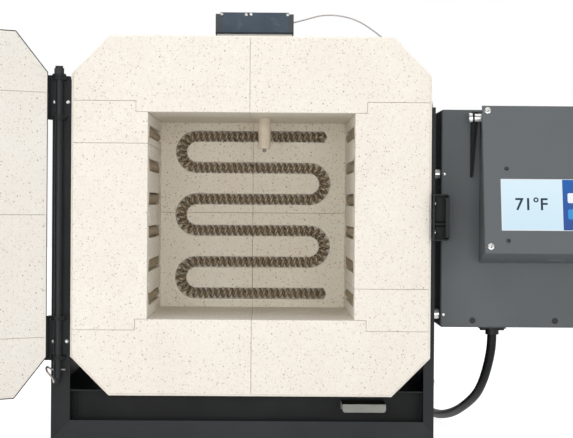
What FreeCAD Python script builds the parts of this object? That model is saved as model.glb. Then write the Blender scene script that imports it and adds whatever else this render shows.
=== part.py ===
import FreeCAD, Part
import math
import os

# Heat treating oven: a firebrick body in an octagonal steel casing, carried in a folded steel frame,
# with a side-hinged brick door, a control cabinet on the right and a tilting control head.
# All sizes are in millimetres. Pieces are drawn about the chamber's mouth: X to the right from the
# chamber's centreline, Y back from the brick face, Z up from the chamber's centre. They are moved
# when they are saved: the origin is under the front left foot, at the middle of its sole.

os.makedirs("parts", exist_ok=True)
V = FreeCAD.Vector
X_AXIS = V(1, 0, 0)
Y_AXIS = V(0, 1, 0)
Z_AXIS = V(0, 0, 1)
ROOT2 = math.sqrt(2.0)

# Chamber and bricks
CHAMBER_W = 254.0
CHAMBER_H = 254.0
CHAMBER_D = 343.0
WALL = 91.5
BACK_WALL = 92.0
FACE_CHAMFER = 46.0
BRICK_LENGTH = 228.6
BRICK_JOINT = 0.35
BRICK_ARRIS = 0.4
TONGUE_W = 14.5
TONGUE_H = 13.5
ROOF_JOINT_X = -2.5
FLOOR_JOINT_X = 1.0
BACK_JOINT_Z = 3.0

# Fibre band and casing
FIBRE = 2.4
FIBRE_SETBACK = 6.0
CASING_SHEET = 1.1
CASING_SETBACK = 30.0
CASING_TAIL = 3.0
REAR_RIM = 14.0
REAR_STEP = 0.5
CASING_SCREW_INSET = 12.0
CASING_SCREW_REACH = 20.0

# Heating elements
ROWS = 6
BACK_ROW_PITCH = 43.3
BACK_RUN = 99.0
SIDE_ROW_PITCH = 42.0
SIDE_FRONT = 26.0
SIDE_REAR = 316.0
COIL_D = 12.7
COIL_SINK = 7.0
GROOVE_CLEAR = 1.4
LEAD_D = 4.6
LEAD_CLEAR = 0.7
RECESS_D = 14.0
RECESS_DEPTH = 24.0
BUSHING_D = 13.0
BUSHING_L = 14.0
BUSHING_FIT = 0.1
LEAD_TAIL = 9.0

# Terminal cover behind the casing
COVER_W = 312.0
COVER_H = 282.0
COVER_D = 46.0
COVER_FLANGE = 14.0
COVER_SHEET = 1.2
COVER_CORNER = 6.0
COVER_SCREW_INSET = 10.0
VENT_ROWS = 6
VENT_PITCH = 14.0
VENT_W = 110.0
VENT_H = 4.0
VENT_DROP = 34.0

# Thermocouple
TC_X = 15.5
TC_Y = 160.0
TC_TUBE_D = 16.0
TC_BORE_D = 6.5
TC_DROP = 40.0
TC_CLEAR = 0.4
TC_SENSOR_D = 3.2
TC_BEAD_D = 4.6
TC_BOX_W = 100.0
TC_BOX_D = 70.0
TC_BOX_H = 27.5
TC_BOX_CX = 2.0
TC_BOX_SHEET = 1.2
TC_LID_INSET = 6.0
TC_LID_STEP = 2.0
TC_PAD_H = 10.5
TC_PAD_INSET = 2.0
TC_BLOCK = (44.0, 26.0, 12.0)
TC_SENSOR_FIT = 0.2
TC_CHANNEL_W = 12.0
TC_CHANNEL_REACH = 12.0
TC_CHANNEL_DEPTH = 3.15
TC_WIRE_D = 1.8
TC_WIRE_HOLE_CLEAR = 0.9
TC_LID_SCREW_D = 4.0
TC_LID_SCREW_H = 1.2
TC_LID_SCREW_DROP = 2.6
TC_LID_SCREW_INSET = 7.8
TC_LID_PAIR = 3.1
WIRE_EXIT_SHARE = 0.62
WIRE_FALL = 177.0
WIRE_ENTRY_INSET = 26.0
WIRE_ENTRY_CLEAR = 0.3
SEAT = 0.15

# Frame
FRAME_SETBACK = 16.0
FRAME_DEPTH = 414.0
FRAME_LEFT = 245.0
FRAME_RIGHT = 226.5
FRAME_SHEET = 1.5
FRAME_FLANGE = 23.5
BASE_DROP = 276.0
FOOT_H = 8.0
FOOT_D = 26.0
FOOT_INSET = 30.0
FOOT_CHAMFER = 1.2
LEFT_PANEL_TOP = 166.5
RIGHT_PANEL_TOP = 135.5
RIGHT_FLANGE = 13.0
FLANGE_GAP = 0.7
TRAY_LIP = 14.0
MITRE_GAP = 0.3
RAIL_Y = 84.0
RAIL_FLANGE = 26.0
SHELF_DROP = 215.4
SHELF_LEG_H = 20.0
SHELF_LIP = 18.0
SHELF_END = 2.0
RAIL_BEND = 0.2
LEG_W = 7.0
LEG_INSET_LEFT = 20.0
LEG_INSET_RIGHT = 8.0
TAB_X = 140.8
TAB_W = 53.5
TAB_DROP = 231.0
TAB_LIP = 10.0
TAB_FRONT_Y = 14.0
TAB_CORNER = 3.5
TAB_SHEET = 1.2
TAB_FOOT = 12.0
RAIL_BOLT_INSET = 24.0

# Door hinge
HINGE_X = -235.7
HINGE_ROD_D = 9.5
HINGE_TOP = 182.0
HINGE_TIP = 206.0
HINGE_TIP_CONE = 7.0
HINGE_TIP_R = 1.6
HINGE_NUT_H = 7.0
HINGE_NUT_AF = 10.5
HINGE_WASHER_R = 8.4
HINGE_WASHER_T = 1.4
HINGE_UPPER_Z = 143.5
HINGE_LOWER_Z = -150.5
HINGE_H = 54.0
HINGE_PLATE = 2.4
HINGE_PLATE_W = 27.0
HINGE_EAR_R = 9.0
HINGE_CORNER = 2.0
HINGE_FIT = 0.06
EAR_GAP = 0.35
LEAF_DEPTH = 40.0
HINGE_SCREW_LEFT = 6.9
HINGE_SCREW_RIGHT = 10.1
HINGE_SCREW_DROP = 5.0
HINGE_SCREW_D = 4.6
HITCH_D = 2.4
HITCH_CLEAR = 0.15
HITCH_Z = -189.0

# Door
DOOR_OPEN = 138.0
DOOR_GAP = 0.5
DOOR_BRICK_T = 76.0
DOOR_BLANKET = 10.0
DOOR_SHELL_SETBACK = 4.0
DOOR_JOINT_Z = 149.0
DOOR_PANEL_STEP = 3.0
DOOR_PANEL_INSET = 34.0
DOOR_SCREW_INSET = 16.0
DOOR_SCREW_REACH = 110.0
LEAF_SCREW_NEAR = -20.0
LEAF_SCREW_FAR = -36.0
LEAF_SCREW_LIFT = 8.0

# Latch
KEEPER_CLEAR = 0.4
KEEPER_W = 20.0
KEEPER_H = 57.0
KEEPER_SHEET = 1.6
KEEPER_FRONT = 12.0
KEEPER_LIP = 3.4
KEEPER_CORNER = 4.0
KEEPER_TONGUE = 46.0
KEEPER_TONGUE_INSET = 10.0
KEEPER_SCREW_YS = (16.0, 36.0)
KEEPER_SCREW_Z = 12.0
STRIKE_D = 6.0
STRIKE_Y = 1.0
STRIKE_Z = -8.0
HOOK_PLATE = 3.0
HOOK_X = 228.5
HOOK_W = 13.0
HOOK_GAP = 0.9
HOOK_TIP = 6.0
PIVOT_Y = -46.0
PIVOT_D = 8.0
PIVOT_FIT = 0.06
PIVOT_COLLAR_D = 14.0
PIVOT_CHAMFER = 1.0
PIVOT_HEAD_D = 15.0
PIVOT_HEAD_H = 3.5
HOOK_LIFT = 14.0
LEVER_REACH = 58.0
GRIP_D = 19.0
GRIP_L = 44.0
GRIP_CHAMFER = 3.0

# Control cabinet
CABINET_X = 235.5
CABINET_W = 237.0
CABINET_Y = 40.0
CABINET_D = 130.0
CABINET_TOP = 134.0
CABINET_H = 270.5
CABINET_SHEET = 1.5
CABINET_CORNER = 2.5
CABINET_COVER_LIP = 12.0
SPACER_D = 12.0
SPACER_DROP = 80.0
SPACER_RISE = 15.5
SPACER_FRONT = 22.0
SPACER_REAR = 24.0
HEAD_LEAD_DROP = 100.0
CABINET_SCREW_D = 4.0
CABINET_SCREW_H = 1.2
CABINET_SCREW_INSET = 4.2
CABINET_VENT_ROWS = 7
CABINET_VENT_PITCH = 18.0
CABINET_VENT_RISE = 76.5
CABINET_VENT_W = 72.0
CABINET_VENT_H = 4.0
CABINET_VENT_REACH = 52.0
CABINET_PLUG_D = 7.6
CABINET_PLUG_T = 0.8
CABINET_PLUG_XS = (40.2, 143.0)
CABINET_PLUG_RISE = 8.5

# Control head
HEAD_W = 146.0
HEAD_PANEL_H = 187.5
HEAD_PANEL_T = 1.8
HEAD_TILT = 17.3
HEAD_TOP_Y = -6.0
HEAD_TOP_Z = 137.0
HEAD_OVERHANG = 4.0
HEAD_RETURN = 9.0
HEAD_BEND = 2.4
HEAD_RELIEF = 8.0
HEAD_SHEET = 1.4
HEAD_REAR_GAP = 3.0
HEAD_REAR_TOP = 131.0
HEAD_REAR_FOOT = -56.0
EAR_X_GAP = 9.5
EAR_SHEET = 2.0
EAR_R = 8.5
EAR_FOOT = 8.0
EAR_BOTTOM = 50.0
HEAD_PIVOT_Y = 12.0
HEAD_PIVOT_Z = 122.5
HEAD_PIVOT_D = 6.0
HEAD_KNOB_D = 12.5
HEAD_KNOB_H = 4.5
HEAD_KNOB_CHAMFER = 0.8
HEAD_COLLAR_D = 10.5
SCREEN_W = 108.0
SCREEN_H = 65.5
SCREEN_LEFT = 20.5
SCREEN_DROP = 93.5
SCREEN_T = 1.2
SCREEN_FIT = 0.2
CARD_SLOT_W = 22.0
CARD_SLOT_H = 8.0
CARD_SLOT_X = 22.0
CARD_SLOT_SHARE = 0.74
HEAD_SCREW_INSET = 7.0
HEAD_SCREW_DROP = 6.5
HEAD_SCREW_RISE = 8.0
DISPLAY_SCREW_INSET = 7.5
DISPLAY_SCREW_ABOVE = 12.5
DISPLAY_SCREW_BELOW = 13.0
DISPLAY_SCREW_H = 1.0

# Screws
PAN_D = 8.5
PAN_H = 2.8
SMALL_D = 5.4
SMALL_H = 1.8
SHANK_D = 3.4
SHANK_L = 3.5

# Power cord
CORD_D = 12.0
CORD_LENGTH = 1800.0
CLAMP_X = 306.0
CLAMP_Y = 95.0
CLAMP_W = 34.0
CLAMP_D = 22.0
CLAMP_T = 4.0
CLAMP_THROAT_D = 17.0
CLAMP_THROAT_L = 7.5
CLAMP_CORNER = 5.0
CLAMP_FIT = 0.1
CLAMP_SCREW_D = 7.0
CLAMP_SCREW_H = 2.4
HANK_MEAN_D = 144.0
HANK_TURNS = 2
HANK_PITCH = 12.4
HANK_X = 34.0
HANK_Y = 522.0
HANK_END_INSET = 0.25
PLUG_D = 34.0
PLUG_L = 50.0
PLUG_RELIEF_L = 34.0
PLUG_RELIEF_D = 19.0
PLUG_RELIEF_WALL = 1.5
PLUG_PIN = (6.3, 1.6, 19.0)
PLUG_PIN_OFFSET = 7.0
PLUG_CHAMFER = 3.0

# Worked out from the sizes above
HALF_W = CHAMBER_W / 2 + WALL
HALF_H = CHAMBER_H / 2 + WALL
BODY_D = CHAMBER_D + BACK_WALL
HALF_JOINT = BRICK_JOINT / 2
CASING_OFFSET = FIBRE + CASING_SHEET
CASING_W = HALF_W + CASING_OFFSET
CASING_H = HALF_H + CASING_OFFSET
CASING_END = BODY_D + CASING_TAIL
KEEPER_LEFT = CASING_W + KEEPER_CLEAR
LEAD_BEHIND = CASING_TAIL + BUSHING_L + LEAD_TAIL
COVER_FRONT = BODY_D + CASING_SHEET + SEAT
FRAME_FRONT = FRAME_SETBACK
FRAME_REAR = FRAME_SETBACK + FRAME_DEPTH
REAR_RAIL_Y = FRAME_REAR - RAIL_Y + FRAME_FRONT
BASE_X = -FRAME_LEFT + FOOT_INSET
BASE_Y = FRAME_FRONT + FOOT_INSET
GROOVE_W = COIL_D + 2 * GROOVE_CLEAR
GROOVE_DEPTH = COIL_SINK + GROOVE_W / 2
DOOR_T = DOOR_GAP + DOOR_BRICK_T + DOOR_BLANKET + CASING_SHEET
CABINET_R = CABINET_X + CABINET_W
CABINET_BOTTOM = CABINET_TOP - CABINET_H
SPACER_ZS = (CABINET_TOP - SPACER_DROP, CABINET_BOTTOM + SPACER_RISE)
SPACER_YS = (CABINET_Y + SPACER_FRONT, CABINET_Y + CABINET_D - SPACER_REAR)
HEAD_CX = CABINET_X + CABINET_W / 2
HEAD_L = HEAD_CX - HEAD_W / 2
HEAD_R = HEAD_CX + HEAD_W / 2
HEAD_BOX_L = HEAD_L + HEAD_PANEL_T + SEAT
HEAD_BOX_R = HEAD_R - HEAD_PANEL_T - SEAT
GROUND = -BASE_DROP - FOOT_H
CORD_FLOOR = GROUND + CORD_D / 2
HANK_R = HANK_MEAN_D / 2
HANK_STUB = math.sqrt((HANK_R + CORD_D / 2) ** 2 - (HANK_R - CORD_D / 2) ** 2) + 1
HANK_TOP = CORD_FLOOR + HANK_TURNS * HANK_PITCH


# Basic forms

def box(x0, x1, y0, y1, z0, z1):
    return Part.makeBox(x1 - x0, y1 - y0, z1 - z0, V(x0, y0, z0))


def cyl(radius, start, axis, length):
    return Part.makeCylinder(radius, length, V(*start), axis)


def face_of(points):
    return Part.Face(Part.makePolygon(points + [points[0]]))


def prism_xz(points, y0, y1):
    return face_of([V(x, y0, z) for x, z in points]).extrude(V(0, y1 - y0, 0))


def prism_yz(points, x0, x1):
    return face_of([V(x0, y, z) for y, z in points]).extrude(V(x1 - x0, 0, 0))


def prism_xy(points, z0, z1):
    return face_of([V(x, y, z0) for x, y in points]).extrude(V(0, 0, z1 - z0))


def fuse(shapes):
    return shapes[0].multiFuse(shapes[1:]).removeSplitter()


def mirror_x(shape, at=0.0):
    return shape.mirror(V(at, 0, 0), X_AXIS)


def save(name, shapes):
    solids = []
    for shape in shapes:
        solids.extend(shape.Solids)
    compound = Part.makeCompound(solids)
    compound.translate(V(-BASE_X, -BASE_Y, -GROUND))
    compound.exportStep("parts/" + name + ".step")


def octagon(grow=0.0, chamfer=FACE_CHAMFER):
    w = HALF_W + grow
    h = HALF_H + grow
    c = chamfer + grow * (2 - ROOT2)
    upper = [(-w, h - c), (-w + c, h), (w - c, h), (w, h - c)]
    return upper + [(-x, -z) for x, z in upper]


def octagon_ring(inner, outer, y0, y1):
    return prism_xz(octagon(outer), y0, y1).cut(prism_xz(octagon(inner), y0 - 1, y1 + 1))


def pan_screw(at, axis, head_d=PAN_D, head_h=PAN_H, shank_l=SHANK_L):
    """A screw whose head stands on a surface at a point, with its shank going the other way."""
    head = cyl(head_d / 2, at, axis, head_h)
    back = V(*at) - axis * shank_l
    return head.fuse(cyl(SHANK_D / 2, tuple(back), axis, shank_l))


def moved(shape, x, y, z):
    copy = shape.copy()
    copy.translate(V(x, y, z))
    return copy


def edges_along(shape, axis):
    """The edges that run parallel to an axis."""
    return [e for e in shape.Edges if abs(e.tangentAt(e.FirstParameter).dot(axis)) > 0.9]


def edge_furthest(shape, axis):
    return max(shape.Edges, key=lambda e: e.CenterOfMass.dot(axis))


def tube(edges, radius):
    """A round solid swept along straight runs and tangent arcs."""
    path = Part.Wire(edges)
    first = edges[0]
    start = first.valueAt(first.FirstParameter)
    along = first.tangentAt(first.FirstParameter)
    section = Part.Wire([Part.makeCircle(radius, start, along)])
    return path.makePipeShell([section], True, True)


def route_edges(points, share=0.45):
    """Straight runs joined by tangent arcs, each as large as its two runs allow."""
    pts = [V(*p) for p in points]
    edges = []
    radii = []
    start = pts[0]
    for a, b, c in zip(pts, pts[1:], pts[2:]):
        into = (a - b).normalize()
        out = (c - b).normalize()
        reach = share * min((a - b).Length, (c - b).Length)
        half = (math.pi - into.getAngle(out)) / 2
        radius = reach / math.tan(half)
        p0 = b + into * reach
        p1 = b + out * reach
        centre = b + (into + out).normalize() * (radius / math.cos(half))
        middle = centre + (b - centre).normalize() * radius
        edges.append(Part.LineSegment(start, p0).toShape())
        edges.append(Part.Arc(p0, middle, p1).toShape())
        radii.append(radius)
        start = p1
    edges.append(Part.LineSegment(start, pts[-1]).toShape())
    return edges, radii


# Firebricks

def arris(solid):
    return solid.makeChamfer(BRICK_ARRIS, solid.Edges)


def slab_half(side, joint_x):
    """Half of the roof slab; the floor slab is the same turned over."""
    inner_z = CHAMBER_H / 2
    outer_z = inner_z + TONGUE_H
    tongue_x = CHAMBER_W / 2 + TONGUE_W
    c = FACE_CHAMFER
    start = side * joint_x + HALF_JOINT
    points = [
        (start, inner_z), (tongue_x, inner_z), (tongue_x, outer_z), (HALF_W, outer_z),
        (HALF_W, HALF_H - c), (HALF_W - c, HALF_H), (start, HALF_H),
    ]
    return arris(prism_xz([(side * x, z) for x, z in points], 0, CHAMBER_D - HALF_JOINT))


def wall_bricks(side, long_below):
    """One side wall of two bricks, with a long brick below or above the short one."""
    g = HALF_JOINT
    inner = CHAMBER_W / 2
    step = inner + TONGUE_W + BRICK_JOINT
    low = -CHAMBER_H / 2 - TONGUE_H + BRICK_JOINT
    high = -low
    joint = low + BRICK_LENGTH if long_below else high - BRICK_LENGTH
    low_in = -CHAMBER_H / 2 + BRICK_JOINT
    lower = [(HALF_W, low), (step, low), (step, low_in), (inner, low_in)]
    lower += [(inner, joint - g), (HALF_W, joint - g)]
    upper = [(HALF_W, joint + g), (inner, joint + g), (inner, -low_in)]
    upper += [(step, -low_in), (step, high), (HALF_W, high)]
    lower, upper = ([(side * x, z) for x, z in outline] for outline in (lower, upper))
    return [arris(prism_xz(outline, 0, CHAMBER_D - g)) for outline in (lower, upper)]


def back_bricks():
    g = HALF_JOINT
    c = FACE_CHAMFER
    bricks = []
    for side in (-1, 1):
        for lift in (-1, 1):
            z0 = BACK_JOINT_Z + lift * g
            points = [
                (g, z0), (HALF_W, z0), (HALF_W, lift * (HALF_H - c)),
                (HALF_W - c, lift * HALF_H), (g, lift * HALF_H),
            ]
            brick = prism_xz([(side * x, z) for x, z in points], CHAMBER_D + g, BODY_D)
            bricks.append(arris(brick))
    return bricks


# Serpentine elements and their grooves: drawn in a wall's own frame, u along X, v along Z, and
# the depth into the wall along Y. Row 1 is the top one.

def row_v(row, pitch):
    return pitch * ((ROWS - 1) / 2 - row)


def turn_side(row):
    """The end of the wall at which this row turns down to the next: -1 is the near end."""
    return -1 if row % 2 == 0 else 1


def element_path(near, far, end, pitch):
    """Centreline from the top terminal to the bottom one, both at u = end."""
    radius = pitch / 2
    edges = []
    here = V(end, COIL_SINK, row_v(0, pitch))
    for row in range(ROWS):
        v = row_v(row, pitch)
        side = turn_side(row)
        stop = end if row == ROWS - 1 else (near if side < 0 else far)
        there = V(stop, COIL_SINK, v)
        edges.append(Part.LineSegment(here, there).toShape())
        if row < ROWS - 1:
            middle = V(stop + side * radius, COIL_SINK, v - radius)
            below = V(stop, COIL_SINK, v - pitch)
            edges.append(Part.Arc(there, middle, below).toShape())
            here = below
    return edges


def groove_cutters(near, far, end, pitch):
    """Flat-bottomed grooves, a little wider than the coil, along the rows and round the turns."""
    radius = pitch / 2
    half = GROOVE_W / 2
    cutters = []
    for row in range(ROWS):
        v = row_v(row, pitch)
        last = end if row in (0, ROWS - 1) else far
        cutters.append(box(near, last, -1, GROOVE_DEPTH, v - half, v + half))
        if row < ROWS - 1:
            side = turn_side(row)
            stop = near if side < 0 else far
            centre = V(stop, -1, v - radius)
            ring = Part.makeCylinder(radius + half, GROOVE_DEPTH + 1, centre, Y_AXIS)
            ring = ring.cut(Part.makeCylinder(radius - half, GROOVE_DEPTH + 1, centre, Y_AXIS))
            edge = stop + side * (radius + half + 1)
            keep = box(min(stop, edge), max(stop, edge), -2, GROOVE_DEPTH + 1, v - 2 * pitch, v + pitch)
            cutters.append(ring.common(keep))
    return cutters


def back_element_parts():
    near = -BACK_RUN + BACK_ROW_PITCH / 2
    far = -near
    coil = tube(element_path(near, far, BACK_RUN, BACK_ROW_PITCH), COIL_D / 2)
    cutters = groove_cutters(near, far, BACK_RUN, BACK_ROW_PITCH)
    solids = [coil]
    for row in (0, ROWS - 1):
        v = row_v(row, BACK_ROW_PITCH)
        u = BACK_RUN - LEAD_D
        solids.append(cyl(LEAD_D / 2, (u, COIL_SINK, v), Y_AXIS, BACK_WALL + LEAD_BEHIND - COIL_SINK))
        cutters.append(cyl(RECESS_D / 2, (u, -1, v), Y_AXIS, RECESS_DEPTH + 1))
        cutters.append(cyl(LEAD_D / 2 + LEAD_CLEAR, (u, 0, v), Y_AXIS, BACK_WALL + 1))
    shift = V(0, CHAMBER_D, 0)
    element = fuse(solids)
    element.translate(shift)
    for cutter in cutters:
        cutter.translate(shift)
    return element, cutters


def side_element_parts():
    """The right wall's element and cutters; the left wall's are their mirror image."""
    radius = SIDE_ROW_PITCH / 2
    near = SIDE_FRONT + GROOVE_W / 2 + radius
    far = SIDE_REAR - GROOVE_W / 2 - radius
    coil = tube(element_path(near, far, SIDE_REAR, SIDE_ROW_PITCH), COIL_D / 2)
    cutters = groove_cutters(near, far, SIDE_REAR, SIDE_ROW_PITCH)
    solids = [coil]
    start = SIDE_REAR - 1
    for row in (0, ROWS - 1):
        place = (start, COIL_SINK, row_v(row, SIDE_ROW_PITCH))
        solids.append(cyl(LEAD_D / 2, place, X_AXIS, BODY_D + LEAD_BEHIND - start))
        cutters.append(cyl(LEAD_D / 2 + LEAD_CLEAR, place, X_AXIS, BODY_D + 1 - start))
    shapes = []
    for shape in [fuse(solids)] + cutters:
        shape = shape.mirror(V(0, 0, 0), Y_AXIS)
        shape.rotate(V(0, 0, 0), Z_AXIS, 90)
        shape.translate(V(CHAMBER_W / 2, 0, 0))
        shapes.append(shape)
    return shapes[0], shapes[1:]


def thermocouple_bore():
    top = HALF_H + CASING_OFFSET + TC_PAD_H + 1
    low = CHAMBER_H / 2 - 1
    return cyl(TC_TUBE_D / 2 + TC_CLEAR, (TC_X, TC_Y, low), Z_AXIS, top - low)


def lead_places():
    """X and Z of each lead behind the back wall."""
    places = []
    for row in (0, ROWS - 1):
        places.append((BACK_RUN - LEAD_D, row_v(row, BACK_ROW_PITCH)))
        for side in (-1, 1):
            places.append((side * (CHAMBER_W / 2 + COIL_SINK), row_v(row, SIDE_ROW_PITCH)))
    return places


def make_brickwork():
    back_element, back_cutters = back_element_parts()
    right_element, right_cutters = side_element_parts()
    left_element = mirror_x(right_element)
    left_cutters = [mirror_x(c) for c in right_cutters]
    roof = [slab_half(-1, ROOF_JOINT_X), slab_half(1, ROOF_JOINT_X).cut(thermocouple_bore())]
    floor = [slab_half(-1, FLOOR_JOINT_X), slab_half(1, FLOOR_JOINT_X)]
    floor = [half.mirror(V(0, 0, 0), Z_AXIS) for half in floor]
    left = [brick.cut(left_cutters) for brick in wall_bricks(-1, True)]
    right = [brick.cut(right_cutters) for brick in wall_bricks(1, False)]
    back = [brick.cut(back_cutters + left_cutters + right_cutters) for brick in back_bricks()]
    save("roof_bricks", roof)
    save("floor_bricks", floor)
    save("left_wall_bricks", left)
    save("right_wall_bricks", right)
    save("back_wall_bricks", back)
    save("back_element", [back_element])
    save("left_element", [left_element])
    save("right_element", [right_element])


# Casing, fibre band and what is behind the back wall

def make_casing():
    bore = thermocouple_bore()
    fibre = octagon_ring(0, FIBRE, FIBRE_SETBACK, BODY_D).cut(bore)
    wrap = octagon_ring(FIBRE, CASING_OFFSET, CASING_SETBACK, CASING_END).cut(bore)
    rear = prism_xz(octagon(FIBRE), BODY_D, CASING_END - REAR_STEP)
    hollow = prism_xz(octagon(FIBRE - REAR_RIM), BODY_D + CASING_SHEET, CASING_END)
    rear = rear.cut(hollow)
    bushings = []
    for x, z in lead_places():
        clear = LEAD_D / 2 + LEAD_CLEAR
        rear = rear.cut(cyl(clear, (x, BODY_D - 1, z), Y_AXIS, CASING_TAIL + 2))
        bush = cyl(BUSHING_D / 2, (x, COVER_FRONT, z), Y_AXIS, BUSHING_L)
        bore = cyl(LEAD_D / 2 + BUSHING_FIT, (x, COVER_FRONT - 1, z), Y_AXIS, BUSHING_L + 2)
        bushings.append(bush.cut(bore))
    save("fibre_band", [fibre])
    save("casing_wrap", [wrap.cut(casing_side_screws())])
    save("casing_rear_panel", [rear])
    save("terminal_bushings", bushings)


def make_terminal_cover():
    w = COVER_W / 2
    h = COVER_H / 2
    y0 = COVER_FRONT
    y1 = y0 + COVER_D
    t = COVER_SHEET
    shell = box(-w, w, y0, y1, -h, h)
    shell = shell.makeFillet(COVER_CORNER, edges_along(shell, Y_AXIS))
    shell = shell.cut(box(-w + t, w - t, y0 - 1, y1 - t, -h + t, h - t))
    f = COVER_FLANGE
    flange = box(-w - f, w + f, y0, y0 + t, -h - f, h + f)
    flange = flange.cut(box(-w + t, w - t, y0 - 1, y0 + t + 1, -h + t, h - t))
    cover = fuse([shell, flange])
    vent = box(-VENT_W / 2, VENT_W / 2, y1 - t - 1, y1 + 1, -VENT_H / 2, VENT_H / 2)
    vents = []
    for row in range(VENT_ROWS):
        for side in (-1, 1):
            for lift in (-1, 1):
                vents.append(moved(vent, side * w / 2, 0, lift * (h - VENT_DROP - row * VENT_PITCH)))
    screw_z = h - COVER_SCREW_INSET
    places = [(x, z) for x in (-w - f / 2, w + f / 2) for z in (-screw_z, 0, screw_z)]
    screws = [pan_screw((x, y0 + t, z), Y_AXIS, SMALL_D, SMALL_H, t) for x, z in places]
    save("terminal_cover", [cover.cut(vents + screws)])
    return screws


def casing_side_screws():
    """Screws on the wrap's two upper chamfers, near its front and rear edges."""
    screws = []
    middle = (CASING_W + CASING_H - FACE_CHAMFER - CASING_OFFSET * (2 - ROOT2)) / 2
    diagonal = 1 / ROOT2
    for y in (CASING_SETBACK + CASING_SCREW_INSET, CASING_END - 2 * CASING_SCREW_INSET):
        for side in (-1, 1):
            for slide in (-CASING_SCREW_REACH, CASING_SCREW_REACH):
                x = side * (middle + slide * diagonal)
                z = middle - slide * diagonal
                axis = V(side * diagonal, 0, diagonal)
                screws.append(pan_screw((x, y, z), axis, SMALL_D, SMALL_H, CASING_SHEET))
    return screws


# Frame

def left_flange_outline(offset):
    inner = -HALF_W - offset - FLANGE_GAP
    low = -BASE_DROP + (inner + FRAME_LEFT)
    return [(-FRAME_LEFT, LEFT_PANEL_TOP), (inner, LEFT_PANEL_TOP), (inner, low), (-FRAME_LEFT, -BASE_DROP)]


def right_flange_outline(offset):
    inner = HALF_W + offset + FLANGE_GAP
    wide = FRAME_RIGHT - RIGHT_FLANGE
    c = FACE_CHAMFER + (offset + FLANGE_GAP) * (2 - ROOT2)
    corner_z = -HALF_H - offset - FLANGE_GAP + c
    low = -BASE_DROP + FRAME_FLANGE
    return [
        (FRAME_RIGHT, RIGHT_PANEL_TOP), (inner, RIGHT_PANEL_TOP), (inner, corner_z),
        (wide, corner_z - (inner - wide)), (wide, low), (FRAME_RIGHT, low - RIGHT_FLANGE),
    ]


def tray_flange_outline(offset):
    g = MITRE_GAP
    inner_l = -HALF_W - offset - FLANGE_GAP
    low = -BASE_DROP
    left_h = inner_l + FRAME_LEFT
    top = low + FRAME_FLANGE
    wide = FRAME_RIGHT - RIGHT_FLANGE
    rise = top - (low + left_h)
    return [
        (-FRAME_LEFT + g, low), (inner_l + g + rise, top), (wide - g, top),
        (FRAME_RIGHT, top - RIGHT_FLANGE - g), (FRAME_RIGHT, low),
    ]


def both_ends(outline):
    """The front flange goes round the fibre band, the rear one round the casing."""
    t = FRAME_SHEET
    return [
        prism_xz(outline(FIBRE), FRAME_FRONT, FRAME_FRONT + t),
        prism_xz(outline(CASING_OFFSET), FRAME_REAR - t, FRAME_REAR),
    ]


def make_frame_panels(screws):
    t = FRAME_SHEET
    low = -BASE_DROP
    left = box(-FRAME_LEFT, -FRAME_LEFT + t, FRAME_FRONT, FRAME_REAR, low, LEFT_PANEL_TOP)
    right = box(FRAME_RIGHT - t, FRAME_RIGHT, FRAME_FRONT, FRAME_REAR, low, RIGHT_PANEL_TOP)
    left = fuse([left] + both_ends(left_flange_outline))
    right = fuse([right] + both_ends(right_flange_outline))
    x0 = -FRAME_LEFT + t + SEAT
    x1 = FRAME_RIGHT - t - SEAT
    floor = box(x0, x1, FRAME_FRONT, FRAME_REAR, low, low + t)
    lips = []
    for x in (x0, x1 - t):
        lips.append(box(x, x + t, FRAME_FRONT + 2 * t, FRAME_REAR - 2 * t, low, low + TRAY_LIP))
    ends = both_ends(tray_flange_outline)
    tray = fuse([floor] + lips + ends)
    tray = tray.cut(left).cut(right)
    save("left_side_panel", [left.cut(screws)])
    save("right_side_panel", [right.cut(screws)])
    save("base_tray", [tray.cut(mitre_clearance())])


def mitre_clearance():
    """Keeps the tray's flange ends just clear of the side panels' flanges."""
    t = FRAME_SHEET
    g = MITRE_GAP
    cuts = []
    for y0, y1 in ((FRAME_FRONT - 1, FRAME_FRONT + t + g), (FRAME_REAR - t - g, FRAME_REAR + 1)):
        cuts.append(box(-FRAME_LEFT - 1, -FRAME_LEFT + t + SEAT, y0, y1, -BASE_DROP - 1, 0))
        cuts.append(box(FRAME_RIGHT - t - SEAT, FRAME_RIGHT + 1, y0, y1, -BASE_DROP - 1, 0))
    return cuts


def cross_rail(y, flange_way):
    """A channel across the tray whose top flange the body's flat underside rests on."""
    t = FRAME_SHEET
    x0 = -FRAME_LEFT + 2 * t + 2 * SEAT
    x1 = FRAME_RIGHT - 2 * t - 2 * SEAT
    low = -BASE_DROP + t + SEAT
    top = -CASING_H - SEAT
    half = CASING_W - FACE_CHAMFER
    web = box(x0, x1, y, y + t, low, -SHELF_DROP - 2 * t)
    corner_cut = prism_xz(octagon(CASING_OFFSET + SEAT), y - 1, y + t + 1)
    web = web.cut(corner_cut)
    seat_y0 = min(y, y + flange_way * RAIL_FLANGE + (t if flange_way < 0 else 0))
    seat = box(-half, half, seat_y0, seat_y0 + RAIL_FLANGE, top - t, top)
    foot = box(x0, x1, seat_y0, seat_y0 + RAIL_FLANGE, low, low + t)
    web_top = box(-half, half, y, y + t, low, top)
    return fuse([web, web_top, seat, foot])


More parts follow.
